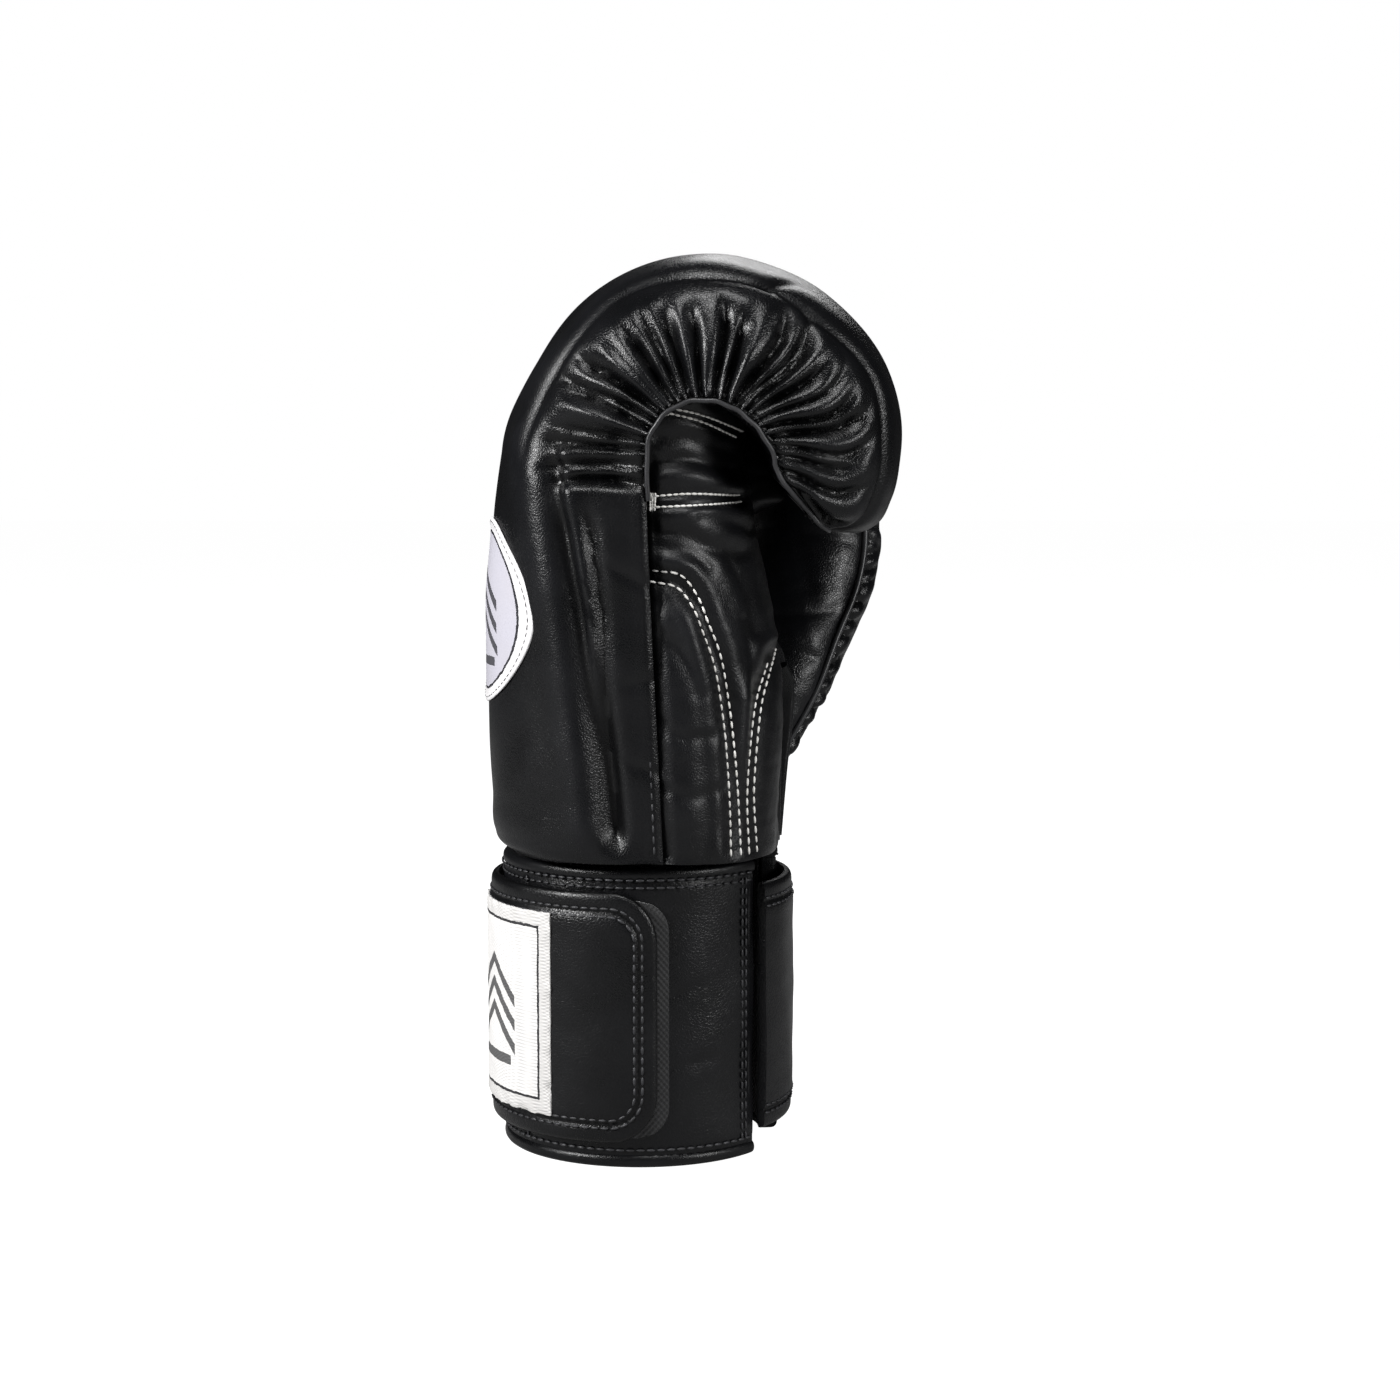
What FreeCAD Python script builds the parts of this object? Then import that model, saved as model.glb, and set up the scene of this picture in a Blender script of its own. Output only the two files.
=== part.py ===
"""Boxing glove for the right hand with a hook-and-loop cuff, every piece at rest, in millimetres.

+Z points from the wrist to the knuckles, +X is the palm side and +Y the thumb side.
The origin is the centre of the wrist opening, on the plane that the glove stands on.
"""
import FreeCAD
import Part

import math
import os
from dataclasses import dataclass, replace

Vector = FreeCAD.Vector

# Sheet goods and clearances
LEATHER = 1.4            # shell leather
CUFF_LEATHER = 1.2
LINING = 1.0
LAYER_GAP = 0.3          # between two layers of one body
WRIST_GAP = 1.6          # between the cuff's top edge and the hand
FOLD_GAP_DEG = 0.6       # each side of the finger fold
THUMB_GAP = 0.8          # between the thumb and the hand
FIST_SIDE_GAP = 1.2      # between the thumb and the side of the fist
CURL_PANEL_GAP = 0.8     # between the pads and the panel inside the curl

# Cuff
CUFF_HEIGHT = 97.5
CUFF_R = 45.2            # outside of the cuff's leather
CUFF_FOAM = 2.6
BINDING_H = 4.0
BINDING_PROUD = 0.8
SLIT_FROM_DEG = -36.0    # little-finger edge of the wrist slit
SLIT_TO_DEG = 8.0        # thumb edge of the wrist slit
EDGE_BINDING_DEG = 4.0
PANEL_SEAMS_DEG = (105.0, 215.0)
SEAM_GAP_DEG = 0.4

# Strap
STRAP_BOTTOM = 9.0
STRAP_WIDTH = 81.0
STRAP_CLEAR = 0.5
LOOP_PATCH = 1.0
STRAP_LINING = 0.9
STRAP_FOAM = 1.4
STRAP_FACE = 1.0
STRAP_BINDING_W = 3.2
HINGE_PROUD = 0.8        # strap folds turn about lines this far outside its face
STRAP_FOLDS_DEG = (-25.0, 60.0, 160.0)
STRAP_END_DEG = 277.0
STRAP_FOLD_GAP_DEG = 0.5
LOOP_FROM_DEG = 150.0
LOOP_TO_DEG = 282.0
LOOP_MARGINS = (1.0, 3.0)   # below and above, inside the strap's width
LABEL_MID_DEG = 201.0
LABEL_WIDTH = 62.0
LABEL_HEIGHT = 66.0
LABEL_T = 0.6

# Hand and fist
HAND_LENGTH = 129.0      # from the hand's lower edge to the middle of the finger curl
STRETCH = HAND_LENGTH / 129.0   # heights up the hand below are given for a length of 129
CURL_X = 22.6            # middle of the finger curl
CURL_R = 21.0            # inside radius of the finger curl
FIST_R = 64.0            # outside radius of the fist
FOLD_DEG = 70.0          # where the fingers fold away from the hand
ROLL_END_DEG = -31.0     # fingertip end of the roll
LITTLE_EDGE = -52.0      # Y of the little-finger side
THUMB_EDGE = 48.0        # Y of the thumb side of the hand
FIST_THUMB_EDGE = 38.0   # Y of the thumb side of the fist
PALM_X = 45.5            # palm surface at the wrist
DOME_POWER = 2.5         # 2 is an ellipse, more is squarer
SEAM_GAP = 0.4
SEAM_SETBACK = 0.8       # side seam behind the inside of the curl
SEAM_LEAN = 5.5          # side seam's lean from the wrist to the curl
EDGE_TURN = 60.0         # turn over which the thumb side narrows
ROLL_TAPER = 0.6         # narrowing of the roll's end for each millimetre of lift
CURL_START_DEG = 178.0   # ends of the panel and cords inside the curl
CURL_END_DEG = -13.0
CURL_PANEL_IN = 3.2      # panel inside the curl, in from each side of the fist
CURL_CORD_IN = 1.6       # middle of each cord, in from the side of the fist

# Room for the hand
ROOM_LITTLE = -41.0
ROOM_THUMB = 37.0
BACK_FOAM = 21.0
PALM_FOAM = 5.5
FINGER_ROOM = 17.0       # thickness of the finger space
ROOM_END_DEG = -10.0
FINGER_ROOM_THUMB = 32.0

# Cutters
CUT_DROP = 4.0           # below the base of a dome
CUT_RUN = 5.0            # past a straight end
CUT_TURN = 6.0           # past a turned end
TIP_LEATHER_TURN = 1.8   # how much sooner each layer of the fingertips stops
TIP_PAD_TURN = 2.4
TIP_LINING_TURN = 3.0
TIP_ROOM_TURN = 4.5

# Palm pieces
SLIT_Y = (2.0, 12.0)
SLIT_HEIGHT = 55.0 * STRETCH
SLIT_BINDING = 3.0
PALM_SEAM_Y = -24.0
GRIP_BAR_X = 33.0
GRIP_COVER = 1.2
GRIP_THUMB_END = 31.0
GRIP_LITTLE_IN = 4.5
GRIP_ABOVE_PALM = 1.0
GRIP_DEPTH = 0.98        # most that the bar reaches down, for its radius
CUT_X = 30.0             # reach of the slit's cutters each side of the palm surface

# Piping and badge
PIPING_R = 1.2
BADGE_R = 30.0
BADGE_T = 0.8
BADGE_Y = -15.5          # nearer the little-finger side
BADGE_HEIGHT = 78.9 * STRETCH   # middle of the badge above the hand's lower edge

# Thumb: height above the hand's lower edge, middle X and Y, half widths in X and Y
THUMB_SHAPE = (
    (16.0, 33.0, 29.0, 10.5, 13.0),
    (30.0, 37.5, 33.0, 15.5, 16.0),
    (47.0, 43.0, 39.0, 19.5, 18.0),
    (65.0, 48.5, 45.5, 20.5, 19.0),
    (84.0, 56.0, 54.5, 21.5, 19.5),
    (102.0, 59.5, 60.0, 21.0, 19.5),
    (118.0, 60.0, 61.5, 19.0, 18.0),
    (128.0, 60.0, 61.5, 13.5, 13.0),
    (133.0, 60.0, 61.5, 6.0, 6.0),
)
THUMB_FOAM = 6.0
THUMB_PIPING = 2.4
THUMB_PIPING_PROUD = 0.8
THUMB_SEAM_GAP = 0.3
THUMB_PASSAGE_R = 10.0
THUMB_PASSAGE = ((10.0, 8.0, 44.0), (49.0, 45.0, 64.0))   # X, Y, height above the hand's lower edge
THUMB_SEAM_ROW = 4       # the row whose middle Y carries the thumb's seam
ROLL_UNDERSIDE = 8.0     # depth of the roll's end that the thumb keeps clear of

HAND_BASE = CUFF_HEIGHT + WRIST_GAP
CURL_Z = HAND_BASE + HAND_LENGTH

# Outside of the back above the hand's lower edge, and of the fist round the curl,
# each as (place, how far the surface stands beyond the fist's radius)
BACK_BULGE = tuple((height * STRETCH, bulge) for height, bulge in (
    (0.0, 3.5), (5.0, 6.8), (18.0, 7.9), (48.0, 8.4), (82.0, 8.4), (104.0, 6.8), (118.0, 5.0)))
FIST_BULGE = ((180.0, 3.6), (160.0, 0.2), (140.0, -1.2), (120.0, -0.3), (95.0, 0.2), (FOLD_DEG, 1.8))
ROLL_BULGE = ((FOLD_DEG, 1.8), (52.0, 3.0), (36.0, 3.3), (18.0, 1.2), (0.0, -1.4), (-14.0, -3.0))
ROLL_END = ((-24.0, -6.0, 6.0), (ROLL_END_DEG, -16.0, 18.0))   # angle, bulge, lift of the base
# Palm surface above the hand's lower edge, as (height, how far it stands beyond PALM_X)
PALM_BULGE = tuple((height * STRETCH, bulge) for height, bulge in (
    (0.0, 0.0), (15.0, 0.4), (50.0, 0.6), (72.0, 0.0), (90.0, -3.8), (100.0, -7.0), (110.0, -10.0)))


@dataclass(frozen=True)
class Station:
    """A dome-shaped cross-section, across the glove, in the plane of its direction and Y."""
    x: float
    z: float
    angle: float
    base: float
    top: float
    low_y: float
    high_y: float


def seam_x(height):
    """X of the side seam, which leans towards the back as it rises."""
    return CURL_X - CURL_R + SEAM_SETBACK + SEAM_LEAN * (1.0 - height / HAND_LENGTH)


def spline_edge(points):
    """One smooth edge through points, with the same knots whatever their spacing."""
    curve = Part.BSplineCurve()
    curve.interpolate(Points=points, Parameters=[float(i) for i in range(len(points))])
    return curve.toShape()


def dome_wire(station, inset, drop):
    """The closed outline of a station, inset from its dome, with its base lowered by drop."""
    count = 12
    direction = Vector(math.cos(math.radians(station.angle)), 0, math.sin(math.radians(station.angle)))
    origin = Vector(station.x, 0, station.z)
    half = (station.high_y - station.low_y) / 2 - inset
    middle = (station.high_y + station.low_y) / 2
    rise = station.top - inset - station.base
    points = []
    for i in range(count + 1):
        turn = math.pi * i / count
        across = math.copysign(abs(math.cos(turn)) ** (2 / DOME_POWER), math.cos(turn))
        up = abs(math.sin(turn)) ** (2 / DOME_POWER)
        reach = station.base + rise * up
        points.append(origin + direction * reach + Vector(0, middle + half * across, 0))
    first, last = points[0], points[-1]
    edges = [spline_edge(points)]
    if drop > 0:
        down = direction * -drop
        edges.append(Part.LineSegment(last, last + down).toShape())
        edges.append(Part.LineSegment(last + down, first + down).toShape())
        edges.append(Part.LineSegment(first + down, first).toShape())
    else:
        edges.append(Part.LineSegment(last, first).toShape())
    return Part.Wire(edges)


def envelope(stations, inset=0.0, drop=0.0):
    """The solid through a row of stations."""
    return Part.makeLoft([dome_wire(s, inset, drop) for s in stations], True, True)


def straight(height, base, top, low_y, high_y):
    """A station across the straight part of the hand, facing the back."""
    return Station(CURL_X, HAND_BASE + height, 180.0, base, top, low_y, high_y)


def curled(angle, base, top, low_y, high_y):
    """A station round the finger curl."""
    return Station(CURL_X, CURL_Z, angle, base, top, low_y, high_y)


def fist_edge(angle):
    """Y of the glove's thumb side at a turn round the curl."""
    share = min(1.0, max(0.0, (180.0 - angle) / EDGE_TURN))
    return THUMB_EDGE + (FIST_THUMB_EDGE - THUMB_EDGE) * share


def back_stations():
    """The outside of the back and knuckles, from the wrist to the finger fold."""
    rows = [straight(h, CURL_X - seam_x(h), FIST_R + bulge, LITTLE_EDGE, THUMB_EDGE)
            for h, bulge in BACK_BULGE]
    for angle, bulge in FIST_BULGE:
        turn = angle + (FOLD_GAP_DEG if angle == FOLD_DEG else 0.0)
        rows.append(curled(turn, CURL_R, FIST_R + bulge, LITTLE_EDGE, fist_edge(angle)))
    return rows


def roll_stations():
    """The outside of the fingers, from the fold to the fingertips."""
    rows = []
    for angle, bulge in ROLL_BULGE:
        turn = angle - (FOLD_GAP_DEG if angle == FOLD_DEG else 0.0)
        rows.append(curled(turn, CURL_R, FIST_R + bulge, LITTLE_EDGE, FIST_THUMB_EDGE))
    for angle, bulge, lift in ROLL_END:
        taper = lift * ROLL_TAPER
        low, high = LITTLE_EDGE + taper, FIST_THUMB_EDGE - taper
        rows.append(curled(angle, CURL_R + lift, FIST_R + bulge, low, high))
    return rows


def palm_stations():
    """The outside of the palm, from the wrist to the grip bar."""
    rows = []
    for height, bulge in PALM_BULGE:
        start = seam_x(height)
        top = PALM_X + bulge - start
        rows.append(Station(start, HAND_BASE + height, 0.0, SEAM_GAP, top, LITTLE_EDGE, THUMB_EDGE))
    return rows


def room_stations():
    """The hand's room on the back side, from the wrist into the fingers, up to the fold."""
    rows = [straight(h, CURL_X - seam_x(h), FIST_R + bulge - BACK_FOAM, ROOM_LITTLE, ROOM_THUMB)
            for h, bulge in BACK_BULGE[:-2]]
    top = CURL_R + FINGER_ROOM
    for angle, _ in FIST_BULGE:
        rows.append(curled(angle, CURL_R, top, ROOM_LITTLE, FINGER_ROOM_THUMB))
    return rows


def finger_room_stations():
    """The fingers' room beyond the fold."""
    top = CURL_R + FINGER_ROOM
    angles = [angle for angle, _ in ROLL_BULGE if angle > ROOM_END_DEG] + [ROOM_END_DEG]
    return [curled(angle, CURL_R, top, ROOM_LITTLE, FINGER_ROOM_THUMB) for angle in angles]


def palm_room_stations():
    """The hand's room on the palm side."""
    rows = []
    for height, bulge in PALM_BULGE:
        start = seam_x(height)
        top = PALM_X + bulge - start - LEATHER - PALM_FOAM
        rows.append(Station(start, HAND_BASE + height, 0.0, SEAM_GAP, top, ROOM_LITTLE, ROOM_THUMB))
    return rows


def carried_on(stations, drop_first=0.0, turn_last=0.0, rise_last=0.0):
    """The same stations with open ends run past both ends of the piece they cut."""
    rows = list(stations)
    if drop_first:
        rows.insert(0, replace(rows[0], z=rows[0].z - drop_first))
    if turn_last:
        rows.append(replace(rows[-1], angle=rows[-1].angle - turn_last))
    if rise_last:
        rows.append(replace(rows[-1], z=rows[-1].z + rise_last))
    return rows


def turned_back(stations, turn):
    """The same stations, begun a turn earlier, for a cutter that opens the first end."""
    return [replace(stations[0], angle=stations[0].angle + turn)] + list(stations)


def shell(outer, cutter_rows, outer_inset, inner_inset):
    """A layer of a dome: from one inset to another, open at its base."""
    return envelope(outer, outer_inset).cut(envelope(cutter_rows, inner_inset, drop=CUT_DROP))


def box(low, high):
    """A box between two corners."""
    size = [b - a for a, b in zip(low, high)]
    return Part.makeBox(size[0], size[1], size[2], Vector(*low))


def between_y(low, high):
    """All of the glove between two Y values."""
    return box((-200, low, -50), (200, high, 400))


def ring_sector(inner, outer, low, high, start, end):
    """A sector of a tube about Z, from start to end degrees."""
    def at(radius, angle):
        return Vector(radius * math.cos(math.radians(angle)), radius * math.sin(math.radians(angle)), low)

    middle = (start + end) / 2
    edges = [
        Part.Arc(at(outer, start), at(outer, middle), at(outer, end)).toShape(),
        Part.LineSegment(at(outer, end), at(inner, end)).toShape(),
        Part.Arc(at(inner, end), at(inner, middle), at(inner, start)).toShape(),
        Part.LineSegment(at(inner, start), at(outer, start)).toShape(),
    ]
    return Part.Face(Part.Wire(edges)).extrude(Vector(0, 0, high - low))


def curl_band(inner, outer, start, end, low_y, high_y):
    """A sector of a tube about the curl's middle line, between two angles."""
    def at(radius, angle):
        turn = math.radians(angle)
        return Vector(CURL_X + radius * math.cos(turn), low_y, CURL_Z + radius * math.sin(turn))

    middle = (start + end) / 2
    edges = [
        Part.Arc(at(outer, start), at(outer, middle), at(outer, end)).toShape(),
        Part.LineSegment(at(outer, end), at(inner, end)).toShape(),
        Part.Arc(at(inner, end), at(inner, middle), at(inner, start)).toShape(),
        Part.LineSegment(at(inner, start), at(outer, start)).toShape(),
    ]
    return Part.Face(Part.Wire(edges)).extrude(Vector(0, high_y - low_y, 0))


def oval_wire(height, x, y, half_x, half_y):
    """A level oval for the thumb."""
    count = 12
    turns = [2 * math.pi * i / count for i in range(count)]
    level = HAND_BASE + height * STRETCH
    points = [Vector(x + half_x * math.cos(t), y + half_y * math.sin(t), level) for t in turns]
    curve = Part.BSplineCurve()
    curve.interpolate(Points=points, PeriodicFlag=True, Parameters=[float(i) for i in range(count + 1)])
    return Part.Wire([curve.toShape()])


def cuff_pieces():
    """The band round the wrist, its bindings and the loop patch."""
    low = BINDING_H + LAYER_GAP
    high = CUFF_HEIGHT - BINDING_H - LAYER_GAP
    leather_in = CUFF_R - CUFF_LEATHER
    foam_out = leather_in - LAYER_GAP
    foam_in = foam_out - CUFF_FOAM
    lining_out = foam_in - LAYER_GAP
    lining_in = lining_out - LINING
    binding_out = CUFF_R + BINDING_PROUD
    binding_in = lining_in - LAYER_GAP
    start = SLIT_TO_DEG + EDGE_BINDING_DEG + SEAM_GAP_DEG
    end = 360.0 + SLIT_FROM_DEG - EDGE_BINDING_DEG - SEAM_GAP_DEG
    first_seam, second_seam = PANEL_SEAMS_DEG
    bounds = (
        ("cuff_thumb_panel", start, first_seam - SEAM_GAP_DEG),
        ("cuff_back_panel", first_seam, second_seam - SEAM_GAP_DEG),
        ("cuff_little_finger_panel", second_seam, end),
    )
    pieces = {name: ring_sector(leather_in, CUFF_R, low, high, a, b) for name, a, b in bounds}
    pieces["cuff_foam"] = ring_sector(foam_in, foam_out, low, high, start, end)
    pieces["cuff_lining"] = ring_sector(lining_in, lining_out, low, high, start, end)
    whole = (SLIT_TO_DEG, 360.0 + SLIT_FROM_DEG)
    pieces["cuff_rim_binding"] = ring_sector(binding_in, binding_out, 0.0, BINDING_H, *whole)
    pieces["cuff_top_binding"] = ring_sector(
        binding_in, binding_out, CUFF_HEIGHT - BINDING_H, CUFF_HEIGHT, *whole)
    pieces["slit_edge_binding_thumb"] = ring_sector(
        binding_in, CUFF_R, low, high, SLIT_TO_DEG, SLIT_TO_DEG + EDGE_BINDING_DEG)
    pieces["slit_edge_binding_little"] = ring_sector(
        binding_in, binding_out, low, high, 360.0 + SLIT_FROM_DEG - EDGE_BINDING_DEG, 360.0 + SLIT_FROM_DEG)
    pieces["loop_patch"] = ring_sector(
        CUFF_R + LAYER_GAP, CUFF_R + LAYER_GAP + LOOP_PATCH,
        STRAP_BOTTOM + LOOP_MARGINS[0], STRAP_BOTTOM + STRAP_WIDTH - LOOP_MARGINS[1], LOOP_FROM_DEG, LOOP_TO_DEG)
    return pieces


def strap_radii():
    """Inside radius of the strap, of its foam and face, and its outside radius."""
    inside = CUFF_R + LAYER_GAP + LOOP_PATCH + STRAP_CLEAR
    foam = inside + STRAP_LINING + LAYER_GAP
    face = foam + STRAP_FOAM + LAYER_GAP
    return inside, foam, face, face + STRAP_FACE


def strap_part(start, end, closed_end):
    """The layers of one stretch of strap, as face, foam, lining and edge binding."""
    inside, foam, face, outside = strap_radii()
    low, high = STRAP_BOTTOM, STRAP_BOTTOM + STRAP_WIDTH
    body_low = low + STRAP_BINDING_W + LAYER_GAP
    body_high = high - STRAP_BINDING_W - LAYER_GAP
    binding_deg = math.degrees(STRAP_BINDING_W / outside)
    body_end = end - binding_deg - SEAM_GAP_DEG if closed_end else end
    bands = [
        ring_sector(inside, outside, low, low + STRAP_BINDING_W, start, end),
        ring_sector(inside, outside, high - STRAP_BINDING_W, high, start, end),
    ]
    if closed_end:
        bands.append(ring_sector(inside, outside, body_low, body_high, end - binding_deg, end))
    return {
        "face": ring_sector(face, outside, body_low, body_high, start, body_end),
        "foam": ring_sector(foam, face - LAYER_GAP, body_low, body_high, start, body_end),
        "lining": ring_sector(inside, foam - LAYER_GAP, body_low, body_high, start, body_end),
        "binding": Part.makeCompound(bands),
    }


def strap_pieces():
    """The strap: its sewn root, two joining stretches and the free end with the hooks."""
    root_fold, mid_fold, end_fold = STRAP_FOLDS_DEG
    inside, _, _, outside = strap_radii()
    root_start = SLIT_FROM_DEG + SEAM_GAP_DEG
    pieces = {"strap_root": ring_sector(
        inside, outside, STRAP_BOTTOM, STRAP_BOTTOM + STRAP_WIDTH, root_start, root_fold - STRAP_FOLD_GAP_DEG)}
    stretches = (
        ("strap_near", root_fold + STRAP_FOLD_GAP_DEG, mid_fold - STRAP_FOLD_GAP_DEG, False),
        ("strap_middle", mid_fold + STRAP_FOLD_GAP_DEG, end_fold - STRAP_FOLD_GAP_DEG, False),
        ("strap_end", end_fold + STRAP_FOLD_GAP_DEG, STRAP_END_DEG, True),
    )
    for name, start, end, closed_end in stretches:
        for layer, solid in strap_part(start, end, closed_end).items():
            pieces[f"{name}_{layer}"] = solid
    pieces["hook_patch"] = pieces.pop("strap_end_lining")
    half_label = math.degrees(LABEL_WIDTH / 2 / outside)
    middle = STRAP_BOTTOM + STRAP_WIDTH / 2
    pieces["strap_label"] = ring_sector(
        outside + LAYER_GAP, outside + LAYER_GAP + LABEL_T, middle - LABEL_HEIGHT / 2, middle + LABEL_HEIGHT / 2,
        LABEL_MID_DEG - half_label, LABEL_MID_DEG + half_label)
    return pieces


def thumb_passage():
    """The way from the hand's room into the thumb, used as a cutter."""
    start, end = (Vector(x, y, HAND_BASE + height * STRETCH) for x, y, height in THUMB_PASSAGE)
    run = end - start
    return Part.makeCylinder(THUMB_PASSAGE_R, run.Length, start, run)


def hand_pieces():
    """The back, knuckles and palm of the glove."""
    outer = back_stations()
    open_outer = carried_on(outer, drop_first=CUT_RUN, turn_last=CUT_TURN)
    room = carried_on(room_stations(), drop_first=CUT_RUN, turn_last=CUT_TURN)
    foam_inset = LEATHER + LAYER_GAP
    lining_out = -(LINING + LAYER_GAP)
    back_pad = envelope(outer, foam_inset).cut(envelope(room, lining_out - LAYER_GAP, drop=CUT_DROP))
    trimmed_room = room_stations()[:-1] + [replace(room_stations()[-1], angle=FOLD_DEG + FOLD_GAP_DEG)]
    back_lining = envelope(trimmed_room, lining_out).cut(envelope(room, 0.0, drop=CUT_DROP))
    pieces = {
        "back_leather": shell(outer, open_outer, 0.0, LEATHER),
        "back_pad": back_pad,
        "back_lining": back_lining,
        "finger_base_panel": curl_band(
            CURL_R - CURL_PANEL_GAP - LEATHER, CURL_R - CURL_PANEL_GAP, FOLD_DEG + FOLD_GAP_DEG, CURL_START_DEG,
            LITTLE_EDGE + CURL_PANEL_IN, FIST_THUMB_EDGE - CURL_PANEL_IN),
        "fist_piping": curl_piping(FOLD_DEG + FOLD_GAP_DEG, CURL_START_DEG),
        "back_badge": back_badge(outer),
    }
    pieces.update(palm_pieces())
    pieces.update(grip_pieces())
    return pieces


def curl_piping(start, end):
    """Two cords along the curl's inner edges, one at each side of the fist."""
    radius = CURL_R - CURL_PANEL_GAP - PIPING_R
    cords = []
    for side in (LITTLE_EDGE + CURL_CORD_IN, FIST_THUMB_EDGE - CURL_CORD_IN):
        centre = Vector(CURL_X, side, CURL_Z)
        profile = Part.Wire([Part.Circle(
            centre + Vector(radius * math.cos(math.radians(start)), 0, radius * math.sin(math.radians(start))),
            Vector(-math.sin(math.radians(start)), 0, math.cos(math.radians(start))), PIPING_R).toShape()])
        cords.append(Part.Face(profile).revolve(centre, Vector(0, -1, 0), end - start))
    return Part.makeCompound(cords)


def back_badge(outer):
    """A round patch that lies on the back of the hand."""
    punch = Part.makeCylinder(BADGE_R, 90.0, Vector(-100.0, BADGE_Y, HAND_BASE + BADGE_HEIGHT), Vector(1, 0, 0))
    skin = envelope(outer, -(LAYER_GAP + BADGE_T)).cut(envelope(outer, -LAYER_GAP, drop=CUT_DROP))
    return skin.common(punch)


def palm_pieces():
    """Leather, foam and lining of the palm, parted by the wrist slit."""
    outer = palm_stations()
    open_outer = carried_on(outer, drop_first=CUT_RUN, rise_last=CUT_RUN)
    room = carried_on(palm_room_stations(), drop_first=CUT_RUN, rise_last=CUT_RUN)
    passage = thumb_passage().common(thumb_loft(LEATHER + LAYER_GAP))
    leather = shell(outer, open_outer, 0.0, LEATHER).cut(passage)
    lining_out = -(LINING + LAYER_GAP)
    pad = envelope(outer, LEATHER + LAYER_GAP).cut(envelope(room, lining_out - LAYER_GAP, drop=CUT_DROP)).cut(passage)
    lining = envelope(palm_room_stations(), lining_out).cut(envelope(room, 0.0, drop=CUT_DROP)).cut(passage)
    slit_low, slit_high = SLIT_Y
    slit_top = HAND_BASE + SLIT_HEIGHT
    slit = box((PALM_X - CUT_X, slit_low, HAND_BASE - 10), (PALM_X + CUT_X, slit_high, slit_top))
    middle = (slit_low + slit_high) / 2
    little_side = between_y(-100.0, PALM_SEAM_Y - SEAM_GAP)
    insert_side = between_y(PALM_SEAM_Y, middle - SEAM_GAP)
    thumb_side = between_y(middle, 100.0)
    edge_room = box((PALM_X - CUT_X, slit_low - SLIT_BINDING - SEAM_GAP, HAND_BASE - 10),
                    (PALM_X + CUT_X, slit_high + SLIT_BINDING + SEAM_GAP, slit_top + SEAM_GAP))
    bindings = envelope(outer).cut(envelope(room, lining_out - LAYER_GAP, drop=CUT_DROP)).cut(passage)
    near = box((PALM_X - CUT_X, slit_low - SLIT_BINDING, HAND_BASE - 10), (PALM_X + CUT_X, slit_low, slit_top))
    far = box((PALM_X - CUT_X, slit_high, HAND_BASE - 10), (PALM_X + CUT_X, slit_high + SLIT_BINDING, slit_top))
    return {
        "palm_edge_panel": leather.common(little_side),
        "palm_insert": leather.common(insert_side).cut(edge_room),
        "palm_thumb_panel": leather.common(thumb_side).cut(edge_room),
        "palm_pad_little": pad.common(between_y(-100.0, middle - SEAM_GAP)).cut(edge_room),
        "palm_pad_thumb": pad.common(thumb_side).cut(edge_room),
        "palm_lining": lining.cut(slit),
        "slit_binding_little": bindings.common(near),
        "slit_binding_thumb": bindings.common(far),
    }


def grip_outline(inset, y):
    """Closed outline of the grip bar: round above, flat towards the palm and the hollow."""
    right = GRIP_BAR_X - inset - CURL_X
    outer = CURL_R - CURL_PANEL_GAP - LAYER_GAP - LEATHER
    low = inset - min(HAND_LENGTH - PALM_BULGE[-1][0] - GRIP_ABOVE_PALM, GRIP_DEPTH * outer)
    radius = outer - inset
    start = math.acos(right / radius)
    end = math.pi + math.asin(-low / radius)

    def at(turn):
        return Vector(CURL_X + radius * math.cos(turn), y, CURL_Z + radius * math.sin(turn))

    corner = Vector(CURL_X + right, y, CURL_Z + low)
    return Part.Wire([
        Part.Arc(at(start), at((start + end) / 2), at(end)).toShape(),
        Part.LineSegment(at(end), corner).toShape(),
        Part.LineSegment(corner, at(start)).toShape(),
    ])


def grip_pieces():
    """The bar that the fingers close on, and its leather cover."""
    start = LITTLE_EDGE + GRIP_LITTLE_IN
    length = GRIP_THUMB_END - start
    outer = Part.Face(grip_outline(0.0, start)).extrude(Vector(0, length, 0))
    hole = Part.Face(grip_outline(GRIP_COVER, start - 1)).extrude(Vector(0, length + 2, 0))
    bar = Part.Face(grip_outline(GRIP_COVER + LAYER_GAP, start + 1)).extrude(Vector(0, length - 2, 0))
    return {"grip_cover": outer.cut(hole), "grip_bar": bar}


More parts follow.
